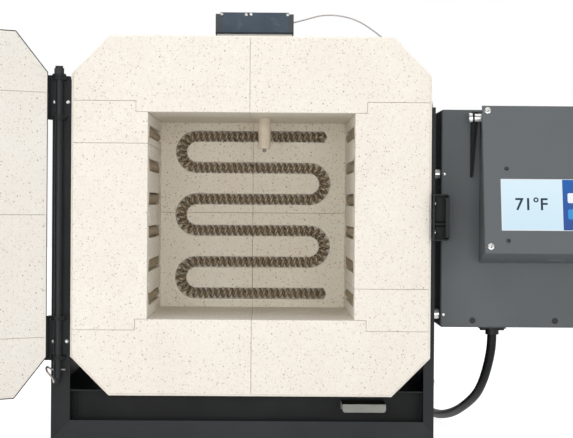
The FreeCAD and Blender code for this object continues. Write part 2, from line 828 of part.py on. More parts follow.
def cradle_rail(side):
    """An angle along the side panel, with a shelf and a lip that lies along the casing's chamfer."""
    t = FRAME_SHEET
    panel = (FRAME_RIGHT if side > 0 else FRAME_LEFT) - t - SEAT
    z = -SHELF_DROP
    line = HALF_W + HALF_H - FACE_CHAMFER + (CASING_OFFSET + SEAT) * ROOT2
    touch = line + z
    lip = SHELF_LIP / ROOT2
    d = t * ROOT2
    y0 = FRAME_FRONT + 2 * t + SHELF_END
    y1 = FRAME_REAR - 2 * t - SHELF_END
    upright = [(panel - t, z), (panel - t, z + SHELF_LEG_H), (panel, z + SHELF_LEG_H)]
    angle = upright + [(panel, z - t), (touch, z - t), (touch, z)]
    slanted = [(touch + lip, z + lip), (touch + lip + d / 2, z + lip - d / 2), (touch + d - RAIL_BEND, z)]
    room_for_lip = panel - t > touch + lip + d
    points = angle + slanted if room_for_lip else angle
    return prism_xz([(side * x, h) for x, h in points], y0, y1)


def cradle_legs():
    """Angles that stand on the tray under the shelves, in front of and behind the cross rails."""
    t = FRAME_SHEET
    low = -BASE_DROP + 2 * t + 2 * SEAT
    top = -SHELF_DROP - t - SEAT
    legs = []
    for side, outer in ((-1, FRAME_LEFT - LEG_INSET_LEFT), (1, FRAME_RIGHT - LEG_INSET_RIGHT)):
        flat = box(outer - LEG_W, outer, 0, t, low, top)
        fin = box(outer - t, outer, 0, LEG_W, low, top)
        behind = fuse([flat, fin])
        in_front = behind.mirror(V(0, 0, 0), Y_AXIS)
        for leg, y in ((in_front, RAIL_Y - SEAT), (behind, REAR_RAIL_Y + t + SEAT)):
            leg = moved(leg, 0, y, 0)
            legs.append(leg if side > 0 else mirror_x(leg))
    return legs


def lower_bracket():
    """Bare folded bracket under the body, on the front cross rail."""
    t = TAB_SHEET
    x0 = TAB_X - TAB_W / 2
    x1 = TAB_X + TAB_W / 2
    z = -TAB_DROP
    rear = RAIL_Y - SEAT
    top = box(x0, x1, TAB_FRONT_Y, rear, z - t, z)
    foot = box(x0, x1, rear - t, rear, z - TAB_FOOT, z)
    lip = box(x0, x1, TAB_FRONT_Y, TAB_FRONT_Y + t, z - TAB_LIP, z)
    lower = [e for e in edges_along(lip, Y_AXIS) if e.CenterOfMass.z < z - TAB_LIP / 2]
    lip = lip.makeFillet(TAB_CORNER, lower)
    return fuse([top, foot, lip])


def rail_bolts():
    """Bolts through the side panels into the cradle rails' legs."""
    bolts = []
    length = 2 * FRAME_SHEET + 2 * SEAT + 1
    z = -SHELF_DROP + SHELF_LEG_H / 2
    for y in (FRAME_FRONT + RAIL_BOLT_INSET, FRAME_REAR - RAIL_BOLT_INSET):
        bolts.append(pan_screw((-FRAME_LEFT, y, z), -X_AXIS, PAN_D, PAN_H, length))
        bolts.append(pan_screw((FRAME_RIGHT, y, z), X_AXIS, PAN_D, PAN_H, length))
    return bolts


def make_frame(screws):
    make_frame_panels(screws)
    save("front_cross_rail", [cross_rail(RAIL_Y, 1)])
    save("rear_cross_rail", [cross_rail(REAR_RAIL_Y, -1)])
    save("cradle_rails", [cradle_rail(side).cut(screws) for side in (-1, 1)])
    save("cradle_legs", cradle_legs())
    save("lower_bracket", [lower_bracket()])


# Thermocouple

def terminal_block(z):
    """Porcelain block on the tube, bored for the sensor, with a channel for each lead."""
    w, d, h = TC_BLOCK
    block = box(TC_X - w / 2, TC_X + w / 2, TC_Y - d / 2, TC_Y + d / 2, z, z + h)
    block = block.cut(cyl(TC_SENSOR_D / 2 + TC_SENSOR_FIT, (TC_X, TC_Y, z - 1), Z_AXIS, h + 2))
    half = TC_CHANNEL_W / 2
    for side in (-1, 1):
        x = TC_X + side * TC_CHANNEL_REACH
        block = block.cut(box(x - half, x + half, TC_Y - d, TC_Y + d, z + h - TC_CHANNEL_DEPTH, z + h + 1))
    return block


def make_thermocouple():
    roof = CASING_H
    pad_top = roof + SEAT + TC_PAD_H
    tube_top = pad_top + 2
    low = CHAMBER_H / 2 - TC_DROP
    body = cyl(TC_TUBE_D / 2, (TC_X, TC_Y, low), Z_AXIS, tube_top - low)
    body = body.makeChamfer(1.0, [edge_furthest(body, -Z_AXIS)])
    body = body.cut(cyl(TC_BORE_D / 2, (TC_X, TC_Y, low - 1), Z_AXIS, tube_top - low + 2))
    x0 = TC_BOX_CX - TC_BOX_W / 2
    x1 = TC_BOX_CX + TC_BOX_W / 2
    y0 = TC_Y - TC_BOX_D / 2
    y1 = TC_Y + TC_BOX_D / 2
    i = TC_PAD_INSET
    pad = box(x0 + i, x1 - i, y0 + i, y1 - i, roof + SEAT, pad_top).cut(thermocouple_bore())
    block = terminal_block(tube_top + SEAT)
    bh = TC_BLOCK[2]
    rod = cyl(TC_SENSOR_D / 2, (TC_X, TC_Y, low - 2), Z_AXIS, tube_top + bh - low)
    bead = Part.makeSphere(TC_BEAD_D / 2, V(TC_X, TC_Y, low - 2.5))
    sensor = rod.fuse(bead)
    t = TC_BOX_SHEET
    z0 = pad_top + SEAT
    z1 = z0 + TC_BOX_H
    shell = box(x0, x1, y0, y1, z0, z1 - TC_LID_STEP)
    n = TC_LID_INSET
    lid = box(x0 + n, x1 - n, y0, y1, z0, z1)
    shell = fuse([shell, lid])
    wide = box(x0 + t, x1 - t, y0 + t, y1 - t, z0 - 1, z1 - TC_LID_STEP - t)
    narrow = box(x0 + n + t, x1 - n - t, y0 + t, y1 - t, z0 - 1, z1 - t)
    shell = shell.cut(fuse([wide, narrow]))
    hole_z = z0 + TC_BOX_H * WIRE_EXIT_SHARE
    shell = shell.cut(cyl(TC_WIRE_D / 2 + TC_WIRE_HOLE_CLEAR, (x1 - 4, TC_Y, hole_z), X_AXIS, 8))
    save("thermocouple_tube", [body])
    save("thermocouple_pad", [pad])
    save("thermocouple_block", [block])
    save("thermocouple_sensor", [sensor])
    middle = TC_BOX_CX - TC_LID_SCREW_INSET
    screws = []
    for x in (x0 + TC_LID_SCREW_INSET, middle - TC_LID_PAIR, middle + TC_LID_PAIR, x1 - TC_LID_SCREW_INSET):
        at = (x, y0, z1 - TC_LID_SCREW_DROP)
        screws.append(pan_screw(at, -Y_AXIS, TC_LID_SCREW_D, TC_LID_SCREW_H, t))
    save("thermocouple_box", [shell.cut(screws)])
    save("thermocouple_wire", [thermocouple_wire(x1, hole_z)])
    return screws


def thermocouple_wire(x1, z):
    """The lead arches over the roof, goes down behind its right side and into the cabinet's back."""
    y = TC_Y
    grommet_x = CABINET_X + WIRE_ENTRY_INSET
    low = z - WIRE_FALL
    back = CABINET_Y + CABINET_D
    points = [
        (x1 - 3, y, z), (x1 + 14, y, z + 4), (x1 + 36, y + 1, z + 11), (x1 + 60, y + 3, z + 11),
        (x1 + 84, y + 8, z + 5), (x1 + 106, y + 18, z - 8), (x1 + 128, y + 34, z - 24),
        (x1 + 152, y + 52, z - 40), (x1 + 173, y + 70, z - 62), (x1 + 186, y + 82, z - 90),
        (x1 + 190, y + 86, z - 120), (x1 + 192, y + 84, z - 146), (x1 + 198, y + 74, z - 165),
        (grommet_x, y + 54, low + 2), (grommet_x, y + 32, low), (grommet_x, back - 3, low),
    ]
    edges, radii = route_edges(points)
    print("thermocouple wire, smallest radius", round(min(radii), 1))
    return tube(edges, TC_WIRE_D / 2)


# Door hinge

def ear_outline(plate_x0, plate_x1, plate_y):
    """Plan of an ear that comes forward from a plate and ends round about the hinge axis."""
    r = HINGE_EAR_R
    outline = [(plate_x0, plate_y), (plate_x1, plate_y), (HINGE_X + r, 0), (HINGE_X - r, 0)]
    block = prism_xy(outline, 0, HINGE_PLATE)
    round_end = cyl(r, (HINGE_X, 0, 0), Z_AXIS, HINGE_PLATE)
    return fuse([block, round_end])


def hinge_hole(clearance):
    return cyl(HINGE_ROD_D / 2 + clearance, (HINGE_X, 0, -BASE_DROP), Z_AXIS, 2 * BASE_DROP)


def frame_hinge_bracket(zc):
    """Back plate on the frame's flange, with two ears just inside the door's ears."""
    back = FRAME_FRONT - SEAT
    front = back - HINGE_PLATE
    x0 = HINGE_X - HINGE_PLATE_W / 2
    x1 = HINGE_X + HINGE_PLATE_W / 2
    half = HINGE_H / 2
    plate = box(x0, x1, front, back, zc - half, zc + half)
    plate = plate.makeFillet(HINGE_CORNER, edges_along(plate, Y_AXIS))
    ear = ear_outline(HINGE_X - HINGE_EAR_R, HINGE_X + HINGE_EAR_R, front)
    inner = half - HINGE_PLATE - EAR_GAP
    upper = moved(ear, 0, 0, zc + inner - HINGE_PLATE)
    lower = moved(ear, 0, 0, zc - inner)
    return fuse([plate, upper, lower]).cut(hinge_hole(HINGE_FIT))


def door_hinge_bracket(zc):
    """Leaf on the shut door's hinge side, with the two outer ears that turn on the rod."""
    half = HINGE_H / 2
    outer = -CASING_W - SEAT
    x0 = outer - HINGE_PLATE
    y1 = -DOOR_SHELL_SETBACK - 1
    y0 = y1 - LEAF_DEPTH
    leaf = box(x0, outer, y0, y1, zc - half, zc + half)
    r = HINGE_EAR_R
    outline = [(x0, y1), (outer, y1), (outer, y1 - r - 2)]
    outline += [(HINGE_X, -r), (HINGE_X, r), (HINGE_X + r - 2, r / 3)]
    ear = fuse([prism_xy(outline, 0, HINGE_PLATE), cyl(r, (HINGE_X, 0, 0), Z_AXIS, HINGE_PLATE)])
    upper = moved(ear, 0, 0, zc + half - HINGE_PLATE)
    lower = moved(ear, 0, 0, zc - half)
    return fuse([leaf, upper, lower]).cut(hinge_hole(HINGE_FIT))


def hinge_rod():
    r = HINGE_ROD_D / 2
    tip = Part.makeCone(HINGE_TIP_R, r, HINGE_TIP_CONE, V(HINGE_X, 0, -HINGE_TIP), Z_AXIS)
    shaft = cyl(r, (HINGE_X, 0, HINGE_TIP_CONE - HINGE_TIP), Z_AXIS, HINGE_TOP + HINGE_TIP - HINGE_TIP_CONE)
    hole = cyl(HITCH_D / 2 + HITCH_CLEAR, (HINGE_X - 2 * r, 0, HITCH_Z), X_AXIS, 4 * r)
    return fuse([tip, shaft]).cut(hole)


def hinge_nut():
    z = HINGE_UPPER_Z + HINGE_H / 2 + EAR_GAP
    radius = HINGE_NUT_AF / math.sqrt(3)
    washer = cyl(HINGE_WASHER_R, (HINGE_X, 0, z), Z_AXIS, HINGE_WASHER_T)
    corners = [math.pi * k / 3 for k in range(6)]
    points = [(HINGE_X + radius * math.cos(a), radius * math.sin(a)) for a in corners]
    nut = prism_xy(points, z + HINGE_WASHER_T, z + HINGE_WASHER_T + HINGE_NUT_H)
    return fuse([washer, nut]).cut(hinge_hole(HINGE_FIT))


def hitch_pin():
    """A wire clip: one leg goes through the rod, the other is sprung down beside it."""
    x = HINGE_X
    r = HINGE_ROD_D / 2
    points = [
        (x + r + 5, 0, HITCH_Z), (x - r - 3, 0, HITCH_Z), (x - r - 8.5, -2.5, HITCH_Z + 4.5),
        (x - r - 8.0, -7, HITCH_Z - 1.5), (x - r - 1, -8, HITCH_Z - 9), (x - r + 1.5, -8, HITCH_Z - 16),
    ]
    edges, _ = route_edges(points)
    return tube(edges, HITCH_D / 2)


def hinge_screws():
    """Screws between the ears, through the bracket's plate into the left panel's flange."""
    front = FRAME_FRONT - SEAT - HINGE_PLATE
    length = HINGE_PLATE + SEAT + FRAME_SHEET
    screws = []
    for zc in (HINGE_UPPER_Z, HINGE_LOWER_Z):
        for x in (HINGE_X - HINGE_SCREW_LEFT, HINGE_X + HINGE_SCREW_RIGHT):
            at = (x, front, zc - HINGE_SCREW_DROP)
            screws.append(pan_screw(at, -Y_AXIS, HINGE_SCREW_D, SMALL_H, length))
    return screws


def make_hinge(screws):
    save("hinge_rod", [hinge_rod()])
    save("hinge_nut", [hinge_nut()])
    save("hinge_hitch_pin", [hitch_pin()])
    brackets = [frame_hinge_bracket(z) for z in (HINGE_UPPER_Z, HINGE_LOWER_Z)]
    save("frame_hinge_brackets", [b.cut(screws) for b in brackets])


# Door, drawn shut and then swung open about the hinge

def open_door(shapes):
    moved = []
    for shape in shapes:
        turned = shape.copy()
        turned.rotate(V(HINGE_X, 0, 0), Z_AXIS, -DOOR_OPEN)
        moved.append(turned)
    return moved


def door_bricks():
    inner = -DOOR_GAP
    outer = inner - DOOR_BRICK_T
    g = HALF_JOINT
    heights = (-HALF_H, -DOOR_JOINT_Z, 0.0, DOOR_JOINT_Z, HALF_H)
    bricks = []
    for low, high in zip(heights, heights[1:]):
        z0 = low + (g if low > -HALF_H else 0)
        z1 = high - (g if high < HALF_H else 0)
        band = box(-HALF_W - 1, HALF_W + 1, outer, inner, z0, z1)
        brick = prism_xz(octagon(), outer, inner).common(band)
        bricks.append(arris(brick.Solids[0]))
    return bricks


def door_shell():
    """A deep octagonal pan round the bricks, with a raised panel on its outer face."""
    inner = -DOOR_SHELL_SETBACK
    back = -DOOR_T
    t = CASING_SHEET
    pan = prism_xz(octagon(CASING_OFFSET), back, inner)
    raised = prism_xz(octagon(CASING_OFFSET - DOOR_PANEL_INSET), back - DOOR_PANEL_STEP, back)
    pan = fuse([pan, raised])
    return pan.cut(prism_xz(octagon(FIBRE), back + t, inner + 1))


def door_screws():
    screws = []
    outer = -CASING_W - SEAT - HINGE_PLATE
    for zc in (HINGE_UPPER_Z, HINGE_LOWER_Z):
        for y, lift in ((LEAF_SCREW_NEAR, LEAF_SCREW_LIFT), (LEAF_SCREW_FAR, -LEAF_SCREW_LIFT)):
            at = (outer, y, zc + lift)
            screws.append(pan_screw(at, -X_AXIS, SMALL_D, SMALL_H, HINGE_PLATE + CASING_SHEET))
    reach = HALF_W - DOOR_SCREW_INSET
    for side in (-1, 1):
        for along in (-DOOR_SCREW_REACH, 0, DOOR_SCREW_REACH):
            for x, z in ((side * reach, along), (along, side * reach)):
                screws.append(pan_screw((x, -DOOR_T, z), -Y_AXIS, SMALL_D, SMALL_H, CASING_SHEET))
    return screws


def make_door():
    shell = door_shell()
    brick_back = -DOOR_GAP - DOOR_BRICK_T
    backing = prism_xz(octagon(FIBRE - SEAT), -DOOR_T + CASING_SHEET + SEAT, brick_back)
    rim = octagon_ring(0, FIBRE - SEAT, brick_back, -DOOR_SHELL_SETBACK)
    blanket = fuse([backing, rim])
    brackets = [door_hinge_bracket(z) for z in (HINGE_UPPER_Z, HINGE_LOWER_Z)]
    screws = door_screws()
    shell = shell.cut(screws)
    brackets = [b.cut(screws) for b in brackets]
    stud = latch_pivot()
    shell = shell.cut(stud)
    save("door_bricks", open_door(door_bricks()))
    save("door_shell", open_door([shell]))
    save("door_blanket", open_door([blanket]))
    save("door_hinge_brackets", open_door(brackets))
    save("door_screws", open_door(screws))
    save("latch_pivot", open_door([stud]))
    hook, grip = latch_hook()
    save("latch_hook", open_door([hook]))
    save("latch_grip", open_door([grip]))


# Latch: a hook on the door's free edge drops over a pin in the keeper

def latch_pivot():
    """Stud with a spacing collar on the door's free side; the hook turns on its shank."""
    side = CASING_W
    inside = side - CASING_SHEET
    hook_end = HOOK_X + HOOK_PLATE + EAR_GAP
    shank = cyl(PIVOT_D / 2, (inside, PIVOT_Y, 0), X_AXIS, hook_end - inside)
    collar = cyl(PIVOT_COLLAR_D / 2, (side, PIVOT_Y, 0), X_AXIS, HOOK_X - EAR_GAP - side)
    head = cyl(PIVOT_HEAD_D / 2, (hook_end, PIVOT_Y, 0), X_AXIS, PIVOT_HEAD_H)
    head = head.makeChamfer(PIVOT_CHAMFER, [edge_furthest(head, X_AXIS)])
    return fuse([shank, collar, head])


def latch_hook():
    """Drawn latched, over the strike pin, then lifted clear by turning about the pivot."""
    r = HOOK_W / 2
    x0 = HOOK_X
    x1 = HOOK_X + HOOK_PLATE
    eye = cyl(r + 2, (x0, PIVOT_Y, 0), X_AXIS, HOOK_PLATE)
    pin_r = STRIKE_D / 2 + HOOK_GAP
    near = STRIKE_Y - pin_r
    far = STRIKE_Y + pin_r
    tip = far + HOOK_TIP
    arm = [
        (PIVOT_Y, -r), (near - 7, -r), (near - 2, STRIKE_Z - 2), (near, STRIKE_Z - 4), (near, STRIKE_Z),
        (far, STRIKE_Z), (far, STRIKE_Z - 4), (tip, STRIKE_Z - 1),
        (tip - 2, r - 4), (tip - 7, r), (PIVOT_Y, r),
    ]
    arm_solid = prism_yz(arm, x0, x1)
    seat = cyl(pin_r, (x0, STRIKE_Y, STRIKE_Z), X_AXIS, HOOK_PLATE)
    end_y = PIVOT_Y - LEVER_REACH
    lever = prism_yz([(PIVOT_Y, -r), (PIVOT_Y, r), (end_y, r - 2), (end_y, -r + 2)], x0, x1)
    hook = fuse([eye, arm_solid, lever]).cut(seat)
    hook = hook.cut(cyl(PIVOT_D / 2 + PIVOT_FIT, (x0 - 1, PIVOT_Y, 0), X_AXIS, HOOK_PLATE + 2))
    grip = cyl(GRIP_D / 2, (x1, end_y + GRIP_D / 2, 0), X_AXIS, GRIP_L)
    rims = [edge_furthest(grip, way) for way in (X_AXIS, -X_AXIS)]
    grip = grip.makeChamfer(GRIP_CHAMFER, rims)
    for shape in (hook, grip):
        shape.rotate(V(0, PIVOT_Y, 0), X_AXIS, HOOK_LIFT)
    return hook, grip


def keeper():
    """A folded box open to the front, with a small return lip, and a tongue along the side panel."""
    x0 = KEEPER_LEFT
    x1 = x0 + KEEPER_W
    y0 = -KEEPER_FRONT
    y1 = FRAME_FRONT - SEAT
    half = KEEPER_H / 2
    t = KEEPER_SHEET
    outer = box(x0, x1, y0, y1, -half, half)
    inner = box(x0 + t, x1 - t, y0 - 1, y1 + 1, -half + t, half - t)
    middle = (x0 + x1) / 2
    bends = [e for e in edges_along(outer, Y_AXIS) if e.CenterOfMass.x > middle]
    outer = outer.makeFillet(KEEPER_CORNER, bends)
    bends = [e for e in edges_along(inner, Y_AXIS) if e.CenterOfMass.x > middle]
    inner = inner.makeFillet(KEEPER_CORNER - t, bends)
    loop = outer.cut(inner)
    lip = box(x1 - t - KEEPER_LIP, x1 - t, y0, y0 + t, -half + KEEPER_CORNER, half - KEEPER_CORNER)
    tongue_x = FRAME_RIGHT + SEAT
    tongue_half = half - KEEPER_TONGUE_INSET
    tongue = box(tongue_x, tongue_x + t, y1 - 2 * t, y1 + KEEPER_TONGUE, -tongue_half, tongue_half)
    web = box(tongue_x, x1 - t, y1 - t, y1, -half + t, half - t)
    return fuse([loop, lip, web, tongue])


def keeper_screws():
    outside = FRAME_RIGHT + SEAT + KEEPER_SHEET
    length = KEEPER_SHEET + SEAT + FRAME_SHEET
    places = [(FRAME_FRONT + y, z) for y in KEEPER_SCREW_YS for z in (-KEEPER_SCREW_Z, KEEPER_SCREW_Z)]
    return [pan_screw((outside, y, z), X_AXIS, SMALL_D, SMALL_H, length) for y, z in places]


def make_keeper(screws):
    t = KEEPER_SHEET
    pin = cyl(STRIKE_D / 2, (KEEPER_LEFT + t, STRIKE_Y, STRIKE_Z), X_AXIS, KEEPER_W - 2 * t)
    save("latch_keeper", [keeper().cut(screws)])
    save("strike_pin", [pin])


# Control cabinet

def cabinet_bolts():
    """Bolts from inside the right panel, through the spacers, into the cabinet's side."""
    inside = FRAME_RIGHT - FRAME_SHEET
    length = CABINET_X + CABINET_SHEET + 3 - inside
    places = [(y, z) for y in SPACER_YS for z in SPACER_ZS]
    return [pan_screw((inside, y, z), -X_AXIS, SMALL_D, SMALL_H, length) for y, z in places]


def make_cabinet(screws):
    t = CABINET_SHEET
    x0, x1 = CABINET_X, CABINET_R
    y0, y1 = CABINET_Y, CABINET_Y + CABINET_D
    z0, z1 = CABINET_BOTTOM, CABINET_TOP
    outer = box(x0, x1, y0, y1, z0, z1)
    front = [e for e in outer.Edges if abs(e.CenterOfMass.y - y0) < 0.1]
    outer = outer.makeFillet(CABINET_CORNER, front + edges_along(outer, Y_AXIS))
    inner = box(x0 + t, x1 - t, y0 + t, y1 + 1, z0 + t, z1 - t)
    cord_hole = cyl(CLAMP_THROAT_D / 2 - 1, (CLAMP_X, CLAMP_Y, z0 - 1), Z_AXIS, t + 2)
    shell = outer.cut(inner).cut(cord_hole)
    lead_hole = cyl(CLAMP_THROAT_D / 2, (HEAD_CX, y0 - 1, CABINET_TOP - HEAD_LEAD_DROP), Y_AXIS, t + 2)
    shell = shell.cut(lead_hole)
    s = SEAT
    lip = y1 - CABINET_COVER_LIP
    cover = box(x0 + t + s, x1 - t - s, lip, y1, z0 + t + s, z1 - t - s)
    cover = cover.cut(box(x0 + 2 * t + s, x1 - 2 * t - s, lip - 1, y1 - t, z0 + 2 * t + s, z1 - 2 * t - s))
    vents = []
    half = CABINET_VENT_W / 2
    for row in range(CABINET_VENT_ROWS):
        z = z0 + CABINET_VENT_RISE + row * CABINET_VENT_PITCH
        for side in (-1, 1):
            x = HEAD_CX + side * CABINET_VENT_REACH
            vents.append(box(x - half, x + half, y1 - t - 1, y1 + 1, z, z + CABINET_VENT_H))
    entry = (x0 + WIRE_ENTRY_INSET, y1 - t - 1, wire_entry_z())
    tc_hole = cyl(TC_WIRE_D / 2 + WIRE_ENTRY_CLEAR, entry, Y_AXIS, t + 2)
    save("cabinet_rear_cover", [cover.cut(vents + [tc_hole])])
    spacers = []
    for y in SPACER_YS:
        for z in SPACER_ZS:
            start = FRAME_RIGHT + SEAT
            spacers.append(cyl(SPACER_D / 2, (start, y, z), X_AXIS, CABINET_X - SEAT - start).cut(screws))
    front_screws = []
    for x in (x0 + CABINET_SCREW_INSET, x1 - CABINET_SCREW_INSET):
        for z in SPACER_ZS:
            front_screws.append(pan_screw((x, y0, z), -Y_AXIS, CABINET_SCREW_D, CABINET_SCREW_H, t))
    shell = shell.cut(screws + front_screws)
    save("cabinet_shell", [shell])
    save("cabinet_spacers", spacers)
    plugs = []
    for inset in CABINET_PLUG_XS:
        at = (x0 + inset, y0 - CABINET_PLUG_T, z0 + CABINET_PLUG_RISE)
        plugs.append(cyl(CABINET_PLUG_D / 2, at, Y_AXIS, CABINET_PLUG_T))
    save("cabinet_hole_plugs", plugs)
    return front_screws


def wire_entry_z():
    roof = CASING_H
    return roof + 2 * SEAT + TC_PAD_H + TC_BOX_H * WIRE_EXIT_SHARE - WIRE_FALL


# Control head: its front panel leans back at the top; drawn in place, with the panel's slope worked out

def on_panel(across, down, out=0.0):
    """A point on the front panel: across from its left edge, down from its top edge, and out of it."""
    a = math.radians(HEAD_TILT)
    y = HEAD_TOP_Y - down * math.sin(a) - out * math.cos(a)
    z = HEAD_TOP_Z - down * math.cos(a) + out * math.sin(a)
    return V(HEAD_L + across, y, z)


def panel_normal():
    a = math.radians(HEAD_TILT)
    return V(0, -math.cos(a), math.sin(a))


def panel_plate(across0, across1, down0, down1, out0, out1):
    corners = [(down0, out0), (down1, out0), (down1, out1), (down0, out1)]
    side = face_of([on_panel(across0, down, out) for down, out in corners])
    return side.extrude(V(across1 - across0, 0, 0))


def head_section(inset):
    """Side profile of the head's box behind the panel, as Y and Z, open on the panel's plane."""
    o = HEAD_OVERHANG + inset
    top = on_panel(0, o, -HEAD_PANEL_T - SEAT)
    foot = on_panel(0, HEAD_PANEL_H - o, -HEAD_PANEL_T - SEAT)
    rear = CABINET_Y - HEAD_REAR_GAP - inset
    return [(top.y, top.z), (foot.y, foot.z), (rear, HEAD_REAR_FOOT + inset), (rear, HEAD_REAR_TOP - inset)]


def folded_panel():
    """The front sheet, folded back along its sides between reliefs at the corners."""
    t = HEAD_PANEL_T
    top, foot = HEAD_RELIEF, HEAD_PANEL_H - HEAD_RELIEF
    middle = panel_plate(0, HEAD_W, top, foot, -HEAD_RETURN, 0)
    centre = middle.CenterOfMass
    out = panel_normal()
    bends = edges_along(middle, on_panel(0, 1) - on_panel(0, 0))
    bends = [e for e in bends if (e.CenterOfMass - centre).dot(out) > 0]
    middle = middle.makeFillet(HEAD_BEND, bends)
    middle = middle.cut(panel_plate(t, HEAD_W - t, top - 1, foot + 1, -HEAD_RETURN - 1, -t))
    ends = [panel_plate(0, HEAD_W, d0, d1, -t, 0) for d0, d1 in ((0, top), (foot, HEAD_PANEL_H))]
    return fuse([middle] + ends)


def card_slot(y):
    """Cutter for the slot in the head's slanting underside."""
    x = HEAD_CX + CARD_SLOT_X
    w, d = CARD_SLOT_W / 2, CARD_SLOT_H / 2
    z = HEAD_REAR_FOOT
    return box(x - w, x + w, y - d, y + d, z - 4 * d, z + 4 * d)


def make_head():
    t = HEAD_SHEET
    outer = prism_yz(head_section(0), HEAD_BOX_L, HEAD_BOX_R)
    cavity = head_section(t)
    n = panel_normal()
    open_front = [(y + n.y * 2 * t, z + n.z * 2 * t) for y, z in cavity[:2]]
    inner = prism_yz(open_front + cavity[1:] + cavity[:1], HEAD_BOX_L + t, HEAD_BOX_R - t)
    shell = outer.cut(inner)
    foot = on_panel(0, HEAD_PANEL_H - HEAD_OVERHANG, -HEAD_PANEL_T)
    rear_y = CABINET_Y - HEAD_REAR_GAP
    shell = shell.cut(card_slot(foot.y + (rear_y - foot.y) * CARD_SLOT_SHARE))
    for x in (HEAD_BOX_L - 1, HEAD_BOX_R - t - 1):
        shell = shell.cut(cyl(HEAD_PIVOT_D / 2, (x, HEAD_PIVOT_Y, HEAD_PIVOT_Z), X_AXIS, t + 2))
    lead_at = (HEAD_CX, rear_y - t - 1, CABINET_TOP - HEAD_LEAD_DROP)
    shell = shell.cut(cyl(CLAMP_THROAT_D / 2, lead_at, Y_AXIS, t + 2))
    plate = folded_panel()
    s0, s1 = SCREEN_LEFT, SCREEN_LEFT + SCREEN_W
    d0, d1 = SCREEN_DROP, SCREEN_DROP + SCREEN_H
    plate = plate.cut(panel_plate(s0, s1, d0, d1, -HEAD_PANEL_T - 1, 1))
    f = SCREEN_FIT
    glass = panel_plate(s0 + f, s1 - f, d0 + f, d1 - f, -HEAD_PANEL_T, -HEAD_PANEL_T + SCREEN_T)
    screws = []
    for across in (HEAD_SCREW_INSET, HEAD_W - HEAD_SCREW_INSET):
        for down in (HEAD_SCREW_DROP, HEAD_PANEL_H - HEAD_SCREW_RISE):
            screws.append(pan_screw(tuple(on_panel(across, down)), n, PAN_D, PAN_H, HEAD_PANEL_T))
    for across in (s0 + DISPLAY_SCREW_INSET, s1 - DISPLAY_SCREW_INSET):
        for down in (d0 - DISPLAY_SCREW_ABOVE, d1 + DISPLAY_SCREW_BELOW):
            at = tuple(on_panel(across, down))
            screws.append(pan_screw(at, n, SMALL_D, DISPLAY_SCREW_H, HEAD_PANEL_T))
    plate = plate.cut(screws)
    save("head_box", [shell])
    save("head_panel", [plate])
    save("display_glass", [glass])
    save("head_screws", screws)
    save("head_pivot_screws", head_pivots())
    save("head_ears", head_ears())


def ear_plate_x():
    """Left face of the left ear."""
    return HEAD_BOX_L - EAR_X_GAP - EAR_SHEET


def head_ears():
    x0 = ear_plate_x()
    x1 = x0 + EAR_SHEET
    back = CABINET_Y - SEAT
    py, pz = HEAD_PIVOT_Y, HEAD_PIVOT_Z
    top = pz + EAR_R
    side = [(back, top), (py, top), (py - EAR_R, pz)]
    side += [(back - 2 * EAR_SHEET, EAR_BOTTOM), (back, EAR_BOTTOM)]
    plate = prism_yz(side, x0, x1)
    tip = cyl(EAR_R, (x0, py, pz), X_AXIS, EAR_SHEET)
    front = [(x0, top), (x1 + EAR_FOOT, top), (x1 + EAR_SHEET, EAR_BOTTOM), (x0, EAR_BOTTOM)]
    foot = prism_xz(front, back - EAR_SHEET, back)
    ear = fuse([plate, tip, foot])
    ear = ear.cut(cyl(HEAD_PIVOT_D / 2 + HINGE_FIT, (x0 - 1, py, pz), X_AXIS, EAR_SHEET + 2))
    return [ear, mirror_x(ear, HEAD_CX)]


def head_pivots():
    """Thumb screws through the ears, with a collar that keeps the head's sides off them."""
    x0 = ear_plate_x()
    x1 = x0 + EAR_SHEET
    at = (HEAD_PIVOT_Y, HEAD_PIVOT_Z)
    knob = cyl(HEAD_KNOB_D / 2, (x0 - EAR_GAP - HEAD_KNOB_H, *at), X_AXIS, HEAD_KNOB_H)
    knob = knob.makeChamfer(HEAD_KNOB_CHAMFER, [edge_furthest(knob, -X_AXIS)])
    shank = cyl(HEAD_PIVOT_D / 2, (x0 - EAR_GAP, *at), X_AXIS, HEAD_BOX_L + HEAD_SHEET - x0 + EAR_GAP)
    collar = cyl(HEAD_COLLAR_D / 2, (x1 + EAR_GAP, *at), X_AXIS, HEAD_BOX_L - x1 - EAR_GAP)
    screw = fuse([knob, shank, collar])
    return [screw, mirror_x(screw, HEAD_CX)]


# Power cord

def make_cord_clamp():
    z1 = CABINET_BOTTOM - SEAT
    x0 = CLAMP_X - CLAMP_W / 2
    x1 = CLAMP_X + CLAMP_W / 2
    y0 = CLAMP_Y - CLAMP_D / 2
    y1 = CLAMP_Y + CLAMP_D / 2
    plate = box(x0, x1, y0, y1, z1 - CLAMP_T, z1)
    plate = plate.makeFillet(CLAMP_CORNER, edges_along(plate, Z_AXIS))
    mouth = z1 - CLAMP_T - CLAMP_THROAT_L
    throat = cyl(CLAMP_THROAT_D / 2, (CLAMP_X, CLAMP_Y, mouth), Z_AXIS, CLAMP_THROAT_L + 1)
    bore = cyl(CORD_D / 2 + CLAMP_FIT, (CLAMP_X, CLAMP_Y, mouth - 1), Z_AXIS, z1 - mouth + 2)
    body = fuse([plate, throat]).cut(bore)
    screws = []
    for side in (-1, 1):
        at = (CLAMP_X + side * (CLAMP_W / 2 - CLAMP_CORNER), CLAMP_Y, z1 - CLAMP_T)
        screws.append(pan_screw(at, -Z_AXIS, CLAMP_SCREW_D, CLAMP_SCREW_H, CLAMP_T))
    save("cord_clamp", [body.cut(screws)] + screws)


